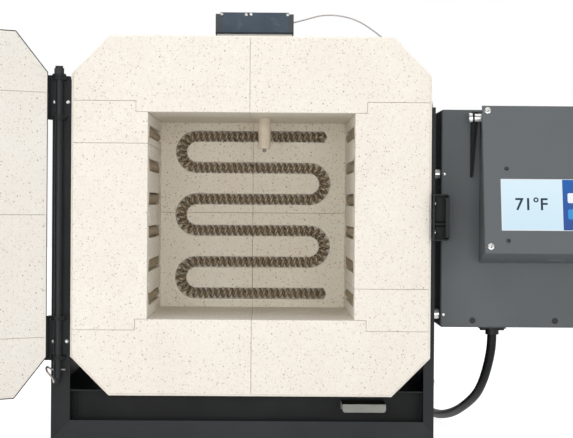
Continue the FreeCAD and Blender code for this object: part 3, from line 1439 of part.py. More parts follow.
def cord_points():
    """The cord drops from its clamp, bends back, lies down beside the frame and goes round behind."""
    f = CORD_FLOOR
    far = HANK_Y + HANK_R
    return [
        (CLAMP_X, CLAMP_Y, CABINET_BOTTOM + 4), (CLAMP_X, CLAMP_Y + 0.1, -157.5), (303.8, 99.3, -177.1),
        (300.4, 109.6, -196.5), (296.7, 126.3, -213.8), (292.0, 151.7, -229.7), (284.5, 193.4, -246.6),
        (275.0, 261.0, -264.7), (270.0, 337.7, f + 0.5), (267.0, 402.0, f), (259.0, 458.0, f),
        (240.0, 508.0, f), (207.0, 550.0, f), (166.0, 579.0, f), (122.0, far - 1, f),
        (HANK_X + HANK_STUB + 26, far, f), (HANK_X + HANK_STUB, far, f),
    ]


def tail_points():
    """From the top of the coiled turns down to the plug, which lies on the floor beside them."""
    x = HANK_X - HANK_STUB
    y = HANK_Y + HANK_R
    rest = GROUND + PLUG_D / 2
    return [
        (x, y, HANK_TOP), (x - 24, y, HANK_TOP), (x - 54, y - 2, HANK_TOP - 4), (x - 83, y - 7, rest + 2),
        (x - 108, y - 14, rest), (x - 129, y - 20, rest),
    ]


def hank():
    """Outer shape of the coiled turns, with the two straight ends that leave it."""
    low = V(HANK_X, HANK_Y, GROUND)
    height = HANK_TOP - GROUND
    outside = Part.makeCylinder(HANK_R + CORD_D / 2, height, low)
    ring = outside.cut(Part.makeCylinder(HANK_R - CORD_D / 2, height, low))
    y = HANK_Y + HANK_R
    start = cyl(CORD_D / 2 - HANK_END_INSET, (HANK_X, y, CORD_FLOOR), X_AXIS, HANK_STUB)
    end = cyl(CORD_D / 2 - HANK_END_INSET, (HANK_X, y, HANK_TOP), -X_AXIS, HANK_STUB)
    return fuse([ring, start, end])


def power_plug():
    """A straight plug with a tapered strain relief and three flat pins, lying at the cord's end."""
    a, b = [V(*p) for p in tail_points()[-2:]]
    r = PLUG_RELIEF_D / 2
    relief = Part.makeCone(CORD_D / 2 + PLUG_RELIEF_WALL, r, PLUG_RELIEF_L, V(0, 0, 0), X_AXIS)
    body = cyl(PLUG_D / 2, (PLUG_RELIEF_L, 0, 0), X_AXIS, PLUG_L)
    body = body.makeChamfer(PLUG_CHAMFER, body.Edges[0:1] + body.Edges[2:3])
    body = fuse([body, relief])
    w, t, length = PLUG_PIN
    pins = []
    for turn in (0, 120, 240):
        pin = Part.makeBox(length, w, t, V(PLUG_RELIEF_L + PLUG_L, -w / 2, PLUG_PIN_OFFSET - t / 2))
        pin.rotate(V(0, 0, 0), X_AXIS, turn)
        pins.append(pin)
    heading = math.degrees(math.atan2(b.y - a.y, b.x - a.x))
    for shape in [body] + pins:
        shape.rotate(V(0, 0, 0), Z_AXIS, heading)
        shape.translate(b)
    return [body] + pins


def cord_tube(points):
    edges, radii = route_edges(points)
    length = sum(e.Length for e in edges)
    print("cord run", round(length, 1), "smallest radius", round(min(radii), 1))
    return tube(edges, CORD_D / 2), length


def make_cord():
    cord, length = cord_tube(cord_points())
    tail, tail_length = cord_tube(tail_points())
    turns = HANK_TURNS * math.hypot(math.pi * HANK_MEAN_D, HANK_PITCH)
    print("whole cord", round(length + tail_length + turns + 2 * HANK_STUB, 1), "of", CORD_LENGTH)
    save("power_cord", [cord])
    save("power_cord_coil", [hank()])
    save("power_cord_tail", [tail])
    save("power_plug", power_plug())


def make_feet():
    feet = []
    for x in (-FRAME_LEFT + FOOT_INSET, FRAME_RIGHT - FOOT_INSET):
        for y in (FRAME_FRONT + FOOT_INSET, FRAME_REAR - FOOT_INSET):
            foot = cyl(FOOT_D / 2, (x, y, GROUND), Z_AXIS, FOOT_H)
            feet.append(foot.makeChamfer(FOOT_CHAMFER, [edge_furthest(foot, -Z_AXIS)]))
    save("rubber_feet", feet)


make_brickwork()
make_casing()
save("casing_screws", make_terminal_cover() + casing_side_screws())
frame_fasteners = rail_bolts() + keeper_screws() + cabinet_bolts()
bracket_screws = hinge_screws()
make_frame(frame_fasteners + bracket_screws)
make_feet()
box_screws = make_thermocouple()
make_hinge(bracket_screws)
make_door()
make_keeper(frame_fasteners)
cabinet_screws = make_cabinet(frame_fasteners)
save("frame_bolts", frame_fasteners)
save("small_screws", bracket_screws + box_screws + cabinet_screws)
make_head()
make_cord_clamp()
make_cord()
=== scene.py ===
import math

import bmesh
import bpy
import numpy as np
from mathutils import Matrix, Vector


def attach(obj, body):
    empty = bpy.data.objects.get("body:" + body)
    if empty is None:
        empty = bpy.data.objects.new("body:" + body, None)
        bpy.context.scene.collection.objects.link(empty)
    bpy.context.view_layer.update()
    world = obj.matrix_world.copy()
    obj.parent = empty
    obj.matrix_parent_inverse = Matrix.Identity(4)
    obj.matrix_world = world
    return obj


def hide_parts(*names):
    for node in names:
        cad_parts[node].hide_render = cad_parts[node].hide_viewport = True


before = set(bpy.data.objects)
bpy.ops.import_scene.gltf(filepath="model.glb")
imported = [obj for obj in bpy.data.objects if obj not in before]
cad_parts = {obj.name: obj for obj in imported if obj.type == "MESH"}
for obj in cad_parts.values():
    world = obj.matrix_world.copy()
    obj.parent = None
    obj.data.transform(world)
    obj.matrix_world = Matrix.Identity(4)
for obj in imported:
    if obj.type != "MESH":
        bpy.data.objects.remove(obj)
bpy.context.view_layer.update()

MM = 0.001

# Places are given about the middle of the chamber's mouth, which is here in the frame
MOUTH_X = 215.0
MOUTH_Y = -46.0
MOUTH_Z = 284.0

# Camera, fitted to the photograph
CAMERA_AT = (18.3, -2647.1, 13.7)
CAMERA_YAW = 0.541
CAMERA_PITCH = 0.364
CAMERA_ROLL = 0.397
CAMERA_LENS = 135.90
SENSOR = 36.0

# Cords
CORD_D = 12.0
CLAMP_X = 306.0
CLAMP_Y = 95.0
CABINET_BOTTOM = -136.5
GROUND = -284.0
CORD_FLOOR = GROUND + CORD_D / 2
HANK_MEAN_D = 144.0
HANK_R = HANK_MEAN_D / 2
HANK_TURNS = 2
HANK_PITCH = 12.4
HANK_X = 34.0
HANK_Y = 522.0
HANK_STUB = 42.57
TURN_STEPS = 16
PLUG_D = 34.0
TC_WIRE_D = 1.8
TC_WIRE_START = (49.0, 160.0, 249.85)

# Elements
ROWS = 6
CHAMBER_HALF = 127.0
CHAMBER_D = 343.0
COIL_OUTER_D = 14.2
COIL_WIRE_D = 4.2
COIL_PITCH = 7.8
COIL_STEPS = 2
COIL_SINK = 7.0
BACK_ROW_PITCH = 43.3
BACK_RUN = 99.0
SIDE_ROW_PITCH = 42.0
SIDE_NEAR = 54.75
SIDE_FAR = 287.25
SIDE_END = 316.0
LEAD_D = 4.6
LEAD_END = 461.0

# Top box
BOX_CX = 2.0
BOX_HALF_W = 50.0
BOX_FOOT = 233.5

# Control head
HEAD_L = 281.0
HEAD_TOP_Y = -6.0
HEAD_TOP_Z = 137.0
HEAD_TILT = 17.3
HEAD_PANEL_T = 1.8
SCREEN_LEFT = 20.5
SCREEN_DROP = 93.5
SCREEN_W = 108.0
SCREEN_H = 65.5
SCREEN_BACK = 0.58
SCREEN_SPLIT = 73.6


def at(x, y, z):
    """A point about the chamber's mouth in millimetres, as a point of the frame in metres."""
    return Vector(((x + MOUTH_X) * MM, (y + MOUTH_Y) * MM, (z + MOUTH_Z) * MM))


# Camera

def make_camera():
    yaw, pitch, roll = (math.radians(a) for a in (CAMERA_YAW, CAMERA_PITCH, CAMERA_ROLL))
    forward = Vector((math.sin(yaw) * math.cos(pitch), math.cos(yaw) * math.cos(pitch), -math.sin(pitch)))
    level = Vector((math.cos(yaw), -math.sin(yaw), 0))
    rise = level.cross(forward)
    right = math.cos(roll) * level + math.sin(roll) * rise
    up = -math.sin(roll) * level + math.cos(roll) * rise
    data = bpy.data.cameras.new("camera")
    data.lens = CAMERA_LENS
    data.sensor_width = SENSOR
    data.clip_end = 50
    camera = bpy.data.objects.new("camera", data)
    bpy.context.scene.collection.objects.link(camera)
    camera.matrix_world = Matrix.Translation(at(*CAMERA_AT)) @ Matrix((right, up, -forward)).transposed().to_4x4()
    bpy.context.scene.camera = camera


# Curves

def spline_object(name, points, radius, kind="NURBS", bevel=4):
    data = bpy.data.curves.new(name, "CURVE")
    data.dimensions = "3D"
    data.bevel_depth = radius * MM
    data.bevel_resolution = bevel
    data.use_fill_caps = True
    data.resolution_u = 6
    spline = data.splines.new(kind)
    spline.points.add(len(points) - 1)
    for i, p in enumerate(points):
        spline.points[i].co = (*p, 1)
        spline.points[i].radius = 1
    if kind == "NURBS":
        spline.order_u = 3
        spline.use_endpoint_u = True
    piece = bpy.data.objects.new(name, data)
    bpy.context.scene.collection.objects.link(piece)
    return piece


def power_cord_points():
    far = HANK_Y + HANK_R
    x = HANK_X + HANK_STUB
    return [
        (CLAMP_X, CLAMP_Y, CABINET_BOTTOM + 4), (CLAMP_X, CLAMP_Y + 0.1, -157.5), (303.8, 99.3, -177.1),
        (300.4, 109.6, -196.5), (296.7, 126.3, -213.8), (292.0, 151.7, -229.7), (283.5, 193.4, -245.6),
        (273.8, 261.0, -262.6), (264.0, 333.0, -273.4), (258.0, 398.0, CORD_FLOOR),
        (250.5, 455.0, CORD_FLOOR), (236.0, 508.0, CORD_FLOOR), (207.0, 550.0, CORD_FLOOR),
        (166.0, 579.0, CORD_FLOOR), (122.0, far - 1, CORD_FLOOR), (x + 26, far, CORD_FLOOR), (x, far, CORD_FLOOR),
        (x - HANK_STUB / 2, far, CORD_FLOOR),
    ]


def coil_points():
    points = []
    for step in range(HANK_TURNS * TURN_STEPS + 1):
        turn = step / TURN_STEPS
        angle = math.radians(90) + turn * 2 * math.pi
        x = HANK_X + HANK_R * math.cos(angle)
        y = HANK_Y + HANK_R * math.sin(angle)
        points.append((x, y, CORD_FLOOR + turn * HANK_PITCH))
    return points


def tail_points():
    x = HANK_X - HANK_STUB
    y = HANK_Y + HANK_R
    top = CORD_FLOOR + HANK_TURNS * HANK_PITCH
    rest = GROUND + PLUG_D / 2
    return [
        (HANK_X - HANK_STUB / 2, y, top), (x, y, top), (x - 24, y, top), (x - 54, y - 2, top - 4),
        (x - 83, y - 7, rest + 2), (x - 108, y - 14, rest), (x - 129, y - 20, rest),
    ]


def thermocouple_wire_points():
    x, y, z = TC_WIRE_START
    grommet = 261.5
    return [
        (x, y, z), (x + 17, y, z + 4), (x + 39, y + 1, z + 11), (x + 63, y + 3, z + 11),
        (x + 87, y + 8, z + 5), (x + 109, y + 18, z - 8), (x + 131, y + 34, z - 24),
        (x + 155, y + 52, z - 40), (x + 176, y + 70, z - 62), (x + 189, y + 82, z - 90),
        (x + 193, y + 86, z - 120), (x + 195, y + 84, z - 146), (x + 201, y + 74, z - 165),
        (grommet, y + 54, z - 175), (grommet, y + 32, z - 177), (grommet, 167.0, z - 177),
    ]


def make_cords():
    points = [at(*p) for p in power_cord_points() + coil_points() + tail_points()]
    cord = spline_object("mains_cord", points, CORD_D / 2)
    cord.data.materials.append(cord_jacket())
    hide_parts("power_cord", "power_cord_coil", "power_cord_tail")
    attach(cord, "body")
    wire_points = [at(*p) for p in thermocouple_wire_points()]
    wire = spline_object("probe_wire", wire_points, TC_WIRE_D / 2)
    wire.data.materials.append(probe_wire_jacket())
    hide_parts("thermocouple_wire")
    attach(wire, "body")


# Materials

class Shader:
    """A material under construction: a principled surface with object coordinates to drive it."""

    def __init__(self, name, roughness=0.5, metallic=0.0, specular=0.5):
        self.material = bpy.data.materials.new(name)
        self.material.use_nodes = True
        self.tree = self.material.node_tree
        self.surface = self.tree.nodes["Principled BSDF"]
        self.surface.inputs["Roughness"].default_value = roughness
        self.surface.inputs["Metallic"].default_value = metallic
        self.surface.inputs["Specular IOR Level"].default_value = specular
        self.coords = self.tree.nodes.new("ShaderNodeTexCoord").outputs["Object"]

    def node(self, kind, **inputs):
        made = self.tree.nodes.new("ShaderNode" + kind)
        for name, value in inputs.items():
            self.feed(made.inputs[name.replace("_", " ")], value)
        return made

    def feed(self, socket, value):
        if isinstance(value, bpy.types.NodeSocket):
            self.tree.links.new(value, socket)
        else:
            socket.default_value = value

    def noise(self, scale, detail=3.0, roughness=0.5, coords=None):
        made = self.node("TexNoise", Vector=coords or self.coords, Scale=scale, Detail=detail, Roughness=roughness)
        return made.outputs["Fac"]

    def cells(self, scale, feature="F1"):
        made = self.node("TexVoronoi", Vector=self.coords, Scale=scale)
        made.feature = feature
        return made

    def ramp(self, value, stops):
        """Colours (or greys, given as numbers) at places along the value."""
        made = self.node("ValToRGB", Fac=value)
        ramp = made.color_ramp
        while len(ramp.elements) < len(stops):
            ramp.elements.new(0.5)
        for element, (place, colour) in zip(ramp.elements, stops):
            element.position = place
            element.color = colour if isinstance(colour, tuple) else (colour, colour, colour, 1)
        return made.outputs["Color"]

    def mix(self, factor, a, b):
        made = self.tree.nodes.new("ShaderNodeMix")
        made.data_type = "RGBA"
        self.feed(made.inputs[0], factor)
        self.feed(made.inputs[6], a)
        self.feed(made.inputs[7], b)
        return made.outputs[2]

    def math(self, operation, a, b=0.0):
        made = self.tree.nodes.new("ShaderNodeMath")
        made.operation = operation
        self.feed(made.inputs[0], a)
        self.feed(made.inputs[1], b)
        return made.outputs[0]

    def bump(self, height, strength, distance):
        made = self.node("Bump", Height=height, Strength=strength, Distance=distance)
        if self.surface.inputs["Normal"].is_linked:
            before = self.surface.inputs["Normal"].links[0].from_socket
            self.tree.links.new(before, made.inputs["Normal"])
        self.tree.links.new(made.outputs["Normal"], self.surface.inputs["Normal"])

    def set(self, name, value):
        self.feed(self.surface.inputs[name], value)


def linear(hex_colour):
    """An sRGB colour such as F8F2E8 as a linear one."""
    parts = [int(hex_colour[i:i + 2], 16) / 255 for i in (0, 2, 4)]
    return tuple(p / 12.92 if p <= 0.04045 else ((p + 0.055) / 1.055) ** 2.4 for p in parts) + (1,)


def specks(s, scale, seen, least, most, colour_channel=0):
    """A scatter of small round marks: where they are, 0 or 1. Cells are 1/scale metres wide."""
    cells = s.cells(scale)
    random = s.node("SeparateColor", Color=cells.outputs["Color"])
    chosen = s.math("LESS_THAN", random.outputs[colour_channel], seen)
    size = s.math("ADD", s.math("MULTIPLY", random.outputs[(colour_channel + 1) % 3], most - least), least)
    return s.math("MULTIPLY", s.math("LESS_THAN", cells.outputs["Distance"], size), chosen)


def firebrick(name, pale, warm, speck, inner=None):
    """Insulating firebrick. Behind the mouth's plane it may be painted a lighter colour, as painted light for the
    chamber's inside.
    """
    s = Shader(name, roughness=0.95, specular=0.1)
    blotch = s.ramp(s.noise(8.0, 4.0, 0.6), [(0.36, 0.0), (0.66, 1.0)])
    clouds = s.ramp(s.noise(46.0, 3.0, 0.6), [(0.35, 0.0), (0.7, 1.0)])
    grain = s.ramp(s.noise(380.0, 3.0, 0.7), [(0.35, 0.0), (0.7, 1.0)])
    base = s.mix(blotch, linear(pale), linear(warm))
    # Painted light: behind the mouth's plane the brick takes the paler inner colour, standing in for light the
    # chamber lacks
    if inner:
        depth = s.node("SeparateXYZ", Vector=s.coords).outputs["Y"]
        painted_light_inside = s.math("GREATER_THAN", depth, (MOUTH_Y + 1) * MM)
        base = s.mix(painted_light_inside, base, linear(inner))
    base = s.mix(s.math("MULTIPLY", clouds, 0.35), base, linear(pale))
    base = s.mix(s.math("MULTIPLY", grain, 0.10), base, linear(speck))
    wide = specks(s, 150.0, 0.50, 0.10, 0.19)
    middling = specks(s, 260.0, 0.70, 0.12, 0.25, 1)
    fine = specks(s, 430.0, 0.60, 0.16, 0.30, 2)
    pale_grains = specks(s, 170.0, 0.30, 0.10, 0.20, 2)
    base = s.mix(s.math("MULTIPLY", pale_grains, 0.5), base, linear("FFFBF2"))
    base = s.mix(s.math("MULTIPLY", fine, 0.28), base, linear(speck))
    base = s.mix(s.math("MULTIPLY", middling, 0.42), base, linear(speck))
    base = s.mix(s.math("MULTIPLY", wide, 0.62), base, linear(speck))
    s.set("Base Color", base)
    pits = s.math("ADD", s.math("MULTIPLY", wide, -1.0), s.math("MULTIPLY", middling, -0.6))
    s.bump(pits, 0.5, 0.0008)
    s.bump(s.noise(900.0, 4.0, 0.7), 0.2, 0.0004)
    return s.material


def fibre(name="ceramic_fibre", colour="FDFAF4"):
    s = Shader(name, roughness=1.0, specular=0.1)
    strands = s.noise(260.0, 5.0, 0.75)
    s.set("Base Color", s.mix(s.ramp(strands, [(0.3, 0.0), (0.7, 1.0)]), linear("F0EADF"), linear(colour)))
    s.bump(strands, 0.5, 0.0008)
    return s.material


def powder_coat(name, colour, worn, roughness=0.5, texture=0.22, specular=0.25):
    s = Shader(name, roughness=roughness, specular=specular)
    patches = s.ramp(s.noise(7.0, 4.0, 0.6), [(0.35, 0.0), (0.7, 1.0)])
    s.set("Base Color", s.mix(s.math("MULTIPLY", patches, 0.5), linear(colour), linear(worn)))
    rough = s.noise(24.0, 3.0)
    s.set("Roughness", s.math("ADD", s.math("MULTIPLY", rough, 0.14), roughness - 0.07))
    s.bump(s.noise(1400.0, 2.0), texture, 0.00025)
    return s.material


def box_coat():
    """The top box's blue-grey coat: browner towards its ends, scuffed, and with painted shade along its foot."""
    s = Shader("box_powder_coat", roughness=0.5, specular=0.3)
    place = s.node("SeparateXYZ", Vector=s.coords)
    aside = s.math("ABSOLUTE", s.math("SUBTRACT", place.outputs["X"], (MOUTH_X + BOX_CX) * MM))
    ends = s.ramp(s.math("ADD", s.math("DIVIDE", aside, BOX_HALF_W * MM), s.math("MULTIPLY", s.noise(60.0), 0.2)),
                  [(0.90, 0.0), (1.08, 1.0)])
    scuffs = s.ramp(s.noise(55.0, 5.0, 0.7), [(0.56, 0.0), (0.72, 1.0)])
    coat = s.mix(s.ramp(s.noise(18.0, 3.0), [(0.35, 0.0), (0.7, 1.0)]), linear("3D4B59"), linear("4A5A69"))
    coat = s.mix(s.math("MULTIPLY", scuffs, 0.35), coat, linear("6E7E8C"))
    coat = s.mix(s.math("MULTIPLY", ends, 0.6), coat, linear("4E4A45"))
    # Painted shade: the lowest 1.6 mm of the box, where it sits on the pad, is darkened to near black
    foot = s.math("LESS_THAN", place.outputs["Z"], (MOUTH_Z + BOX_FOOT + 1.6) * MM)
    s.set("Base Color", s.mix(s.math("MULTIPLY", foot, 0.8), coat, linear("111214")))
    s.bump(s.noise(1400.0, 2.0), 0.22, 0.00025)
    return s.material


def zinc(name="zinc_plate"):
    s = Shader(name, roughness=0.28, metallic=1.0)
    bloom = s.noise(160.0, 3.0)
    s.set("Base Color", s.mix(bloom, linear("C9CCCE"), linear("F2F1EC")))
    s.set("Roughness", s.math("ADD", s.math("MULTIPLY", bloom, 0.2), 0.18))
    s.bump(s.noise(600.0, 3.0), 0.1, 0.0002)
    return s.material


def bare_steel(name="bare_steel", colour="9C958D", grain_axis=0, stained="B7B0A6"):
    s = Shader(name, roughness=0.38, metallic=1.0)
    stretch = [900.0, 900.0, 900.0]
    stretch[grain_axis] = 30.0
    mapped = s.node("Mapping", Vector=s.coords)
    mapped.inputs["Scale"].default_value = stretch
    lines = s.noise(1.0, 3.0, 0.6, mapped.outputs["Vector"])
    stain = s.ramp(s.noise(30.0, 4.0, 0.6), [(0.3, 0.0), (0.75, 1.0)])
    s.set("Base Color", s.mix(stain, linear(colour), linear(stained)))
    s.set("Roughness", s.math("ADD", s.math("MULTIPLY", lines, 0.3), 0.28))
    s.bump(lines, 0.15, 0.0002)
    return s.material


def element_wire():
    s = Shader("element_wire", roughness=0.34, metallic=0.35, specular=0.8)
    scale = s.ramp(s.noise(190.0, 4.0, 0.65), [
        (0.3, linear("94856F")), (0.55, linear("B0A088")), (0.75, linear("C8B9A1"))])
    s.set("Base Color", scale)
    s.set("Roughness", s.math("ADD", s.math("MULTIPLY", s.noise(300.0), 0.2), 0.24))
    s.bump(s.noise(1200.0, 3.0), 0.3, 0.0003)
    return s.material


def probe_ceramic():
    s = Shader("probe_ceramic", roughness=0.8, specular=0.3)
    bands = s.ramp(s.noise(70.0, 4.0, 0.6), [(0.3, linear("CFC3B0")), (0.7, linear("E2D8C8"))])
    s.set("Base Color", bands)
    s.bump(s.noise(700.0, 3.0), 0.25, 0.0003)
    return s.material


def porcelain():
    s = Shader("porcelain", roughness=0.35, specular=0.5)
    s.set("Base Color", s.mix(s.noise(60.0), linear("E7E1D5"), linear("F6F2EA")))
    s.bump(s.noise(500.0, 2.0), 0.08, 0.0002)
    return s.material


def moulded_black(name="moulded_black", colour="141517", worn="1D1E20", roughness=0.5, specular=0.35):
    s = Shader(name, roughness=roughness, specular=specular)
    s.set("Base Color", s.mix(s.noise(40.0), linear(colour), linear(worn)))
    s.set("Roughness", s.math("ADD", s.math("MULTIPLY", s.noise(120.0), 0.15), roughness - 0.07))
    s.bump(s.noise(1600.0, 2.0), 0.25, 0.0002)
    return s.material


def cord_jacket():
    return moulded_black("cord_jacket", "0B0C0E", "121418", 0.5, 0.22)


def probe_wire_jacket():
    s = Shader("probe_wire_jacket", roughness=0.6)
    braid = s.cells(1500.0).outputs["Distance"]
    s.set("Base Color", s.mix(braid, linear("B3A8A6"), linear("E4DCD8")))
    s.bump(braid, 0.4, 0.0003)
    return s.material


def lit_screen(name, top, foot, strength, height=SCREEN_H):
    """A backlit area of the display that changes from its top to its foot, under a faint pixel grid."""
    s = Shader(name, roughness=0.25, specular=0.12)
    up = s.node("SeparateXYZ", Vector=s.coords).outputs["Y"]
    fall = s.math("SUBTRACT", 1.0, s.math("DIVIDE", up, height * MM))
    drift = s.math("MULTIPLY", s.noise(14.0, 2.0), 0.12)
    grid = s.math("MULTIPLY", s.cells(2600.0).outputs["Distance"], 0.04)
    blend = s.math("ADD", fall, s.math("SUBTRACT", drift, grid))
    shade = s.mix(s.ramp(blend, [(0.0, 0.0), (1.0, 1.0)]), linear(top), linear(foot))
    s.set("Base Color", (0.01, 0.01, 0.01, 1))
    s.set("Emission Color", shade)
    s.set("Emission Strength", strength)
    return s.material


def paint_nodes():
    black = powder_coat("black_powder_coat", "131517", "1B1E20")
    grey = powder_coat("grey_powder_coat", "5A5F61", "63696B", 0.5)
    slate = powder_coat("slate_powder_coat", "62676A", "686D70", 0.5)
    # Painted light: the back wall (FDF8EC) and the face brick's inside (FDF8EE) are paler than the face (F6F1E8) to
    # stand in for light inside the chamber
    wall = firebrick("chamber_brick_painted_lighter", "FDF8EC", "F9F1E1", "927353")
    face = firebrick("face_brick", "F6F1E8", "F2EADF", "8F7C66", "FDF8EE")
    # Door brick: its own specks, and a base a shade paler than the face brick as painted light for the door's turned
    # face, which gets less lamp light
    door_brick = firebrick("door_brick", "F7F3EC", "F3EEE6", "A39380")
    steel = bare_steel()
    bright = zinc()
    finishes = {
        face: ["roof_bricks", "floor_bricks", "left_wall_bricks", "right_wall_bricks"],
        wall: ["back_wall_bricks"],
        door_brick: ["door_bricks"],
        fibre(): ["fibre_band", "door_blanket", "thermocouple_pad"],
        box_coat(): ["thermocouple_box"],
        black: [
            "casing_wrap", "casing_rear_panel", "terminal_cover", "left_side_panel", "right_side_panel", "strike_pin",
            "front_cross_rail", "rear_cross_rail", "cradle_rails", "cradle_legs", "frame_hinge_brackets",
            "door_shell", "door_hinge_brackets", "latch_hook", "latch_keeper", "head_ears",
        ],
        powder_coat("tray_powder_coat", "1C2023", "26292B"): ["base_tray"],
        grey: ["cabinet_shell", "cabinet_rear_cover"],
        slate: ["head_panel", "head_box"],
        bright: [
            "casing_screws", "door_screws", "latch_pivot", "cabinet_spacers",
            "frame_bolts", "small_screws", "head_screws", "head_pivot_screws",
        ],
        steel: ["thermocouple_sensor"],
        bare_steel("bracket_steel", "70716B", 0, "5F605C"): ["lower_bracket"],
        bare_steel("dull_steel", "7C7A78"): ["hinge_hitch_pin"],
        powder_coat("black_oxide", "1A1D20", "24282B", 0.4): ["hinge_rod", "hinge_nut"],
        porcelain(): ["terminal_bushings", "thermocouple_block"],
        probe_ceramic(): ["thermocouple_tube"],
        moulded_black(): ["latch_grip", "cabinet_hole_plugs", "cord_clamp", "power_plug"],
        moulded_black("rubber", "17171A", "202022", 0.75): ["rubber_feet"],
        lit_screen("display_border", "FAFDFF", "F2F9FE", 0.9): ["display_glass"],
        element_wire(): ["back_element", "left_element", "right_element"],
        cord_jacket(): ["power_cord", "power_cord_coil", "power_cord_tail"],
        probe_wire_jacket(): ["thermocouple_wire"],
    }
    for material, names in finishes.items():
        for name in names:
            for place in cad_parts[name].material_slots:
                place.material = material


# Folded sheet catches light along its edges

SHEET_NODES = {
    0.35: ["left_side_panel", "right_side_panel", "base_tray", "front_cross_rail", "rear_cross_rail", "cradle_rails",
           "head_panel", "head_box", "head_ears", "terminal_cover", "thermocouple_box", "casing_rear_panel"],
    0.5: ["frame_hinge_brackets", "door_hinge_brackets", "latch_keeper", "latch_hook", "lower_bracket", "cord_clamp"],
    0.25: ["hinge_nut", "hinge_rod", "head_pivot_screws", "display_glass"],
}


def soften_edges():
    for width, names in SHEET_NODES.items():
        for name in names:
            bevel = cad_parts[name].modifiers.new("edge", "BEVEL")
            bevel.width = width * MM
            bevel.segments = 2
            bevel.limit_method = "ANGLE"
            bevel.angle_limit = math.radians(40)
            bevel.harden_normals = True


# Screw heads: domed, with a cross recess, where the model has plain ones

HEAD_RINGS = 9
HEAD_SEGMENTS = 28
RECESS_REACH = 0.52
RECESS_HALF = 0.13
RECESS_DEPTH = 0.55
RIVET_X = 224.5
RIVET_Y = -5.0
RIVET_ZS = (17.5, -18.0)
RIVET_D = 6.0
RIVET_H = 2.2
RIVET_RINGS = 6


def islands(mesh):
    """The mesh's vertices, grouped by the separate solids that they belong to."""
    group = list(range(len(mesh.vertices)))

    def root(i):
        while group[i] != i:
            group[i] = group[group[i]]
            i = group[i]
        return i

    for edge in mesh.edges:
        a, b = (root(i) for i in edge.vertices)
        group[a] = b
    by_place = {}
    for i, vertex in enumerate(mesh.vertices):
        key = tuple(round(c * 1e5) for c in vertex.co)
        if key in by_place:
            group[root(i)] = root(by_place[key])
        by_place[key] = i
    found = {}
    for i, vertex in enumerate(mesh.vertices):
        found.setdefault(root(i), []).append(vertex.co.copy())
    return list(found.values())


def screw_axis(points):
    """Centre of a screw, the way its head faces, its top and its head's radius, from its points."""
    centre = sum(points, Vector()) / len(points)
    spread = np.cov(np.array([list(p - centre) for p in points]).T)
    values, vectors = np.linalg.eigh(spread)
    odd = 0 if values[1] - values[0] > values[2] - values[1] else 2
    axis = Vector(vectors[:, odd])
    radial = [((p - centre) - axis * (p - centre).dot(axis)).length for p in points]
    radius = max(radial)
    rim = [(p - centre).dot(axis) for p, r in zip(points, radial) if r > 0.9 * radius]
    others = [(p - centre).dot(axis) for p, r in zip(points, radial) if r < 0.6 * radius]
    if others and sum(rim) / len(rim) < sum(others) / len(others):
        axis = -axis
        rim = [-h for h in rim]
    return centre, axis, max(rim), max(rim) - min(rim), radius


def add_screw(bm, points, slot_index):
    centre, axis, top, height, radius = screw_axis(points)
    turn = axis.to_track_quat("Z", "Y").to_matrix()
    base = centre + axis * (top - height)
    rings = []
    for ring in range(HEAD_RINGS + 1):
        share = ring / HEAD_RINGS
        r = radius * (1 - share)
        loop = []
        for k in range(HEAD_SEGMENTS):
            a = 2 * math.pi * k / HEAD_SEGMENTS
            x, y = r * math.cos(a), r * math.sin(a)
            lift = height * (0.45 + 0.55 * math.sqrt(max(0.0, 1 - (r / radius) ** 2)))
            wide = abs(x) < RECESS_HALF * radius and abs(y) < RECESS_REACH * radius
            tall = abs(y) < RECESS_HALF * radius and abs(x) < RECESS_REACH * radius
            if wide or tall:
                lift -= RECESS_DEPTH * height
            loop.append(bm.verts.new(base + turn @ Vector((x, y, lift))))
        rings.append(loop)
    foot = [bm.verts.new(base + turn @ Vector((radius * math.cos(2 * math.pi * k / HEAD_SEGMENTS),
                                               radius * math.sin(2 * math.pi * k / HEAD_SEGMENTS), 0)))
            for k in range(HEAD_SEGMENTS)]
    rings.insert(0, foot)
    for low, high in zip(rings, rings[1:]):
        for k in range(HEAD_SEGMENTS):
            j = (k + 1) % HEAD_SEGMENTS
            face = bm.faces.new((low[k], low[j], high[j], high[k]))
            face.smooth = True
            face.material_index = slot_index


def make_keeper_rivets():
    """Two domed heads on the inner side of the keeper."""
    bm = bmesh.new()
    for z in RIVET_ZS:
        rings = []
        for step in range(RIVET_RINGS + 1):
            angle = math.pi / 2 * step / RIVET_RINGS
            radius = RIVET_D / 2 * math.cos(angle)
            height = RIVET_H * math.sin(angle)
            loop = []
            for k in range(HEAD_SEGMENTS):
                a = 2 * math.pi * k / HEAD_SEGMENTS
                across, up = radius * math.cos(a), radius * math.sin(a)
                loop.append(bm.verts.new(at(RIVET_X + height, RIVET_Y + across, z + up)))
            rings.append(loop)
        for low, high in zip(rings, rings[1:]):
            for k in range(HEAD_SEGMENTS):
                j = (k + 1) % HEAD_SEGMENTS
                bm.faces.new((low[k], low[j], high[j], high[k])).smooth = True
    bmesh.ops.remove_doubles(bm, verts=bm.verts, dist=1e-7)
    mesh = bpy.data.meshes.new("keeper_rivets")
    bm.to_mesh(mesh)
    bm.free()
    mesh.materials.append(zinc("rivet_zinc"))
    rivets = bpy.data.objects.new("keeper_rivets", mesh)
    bpy.context.scene.collection.objects.link(rivets)
    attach(rivets, "body")


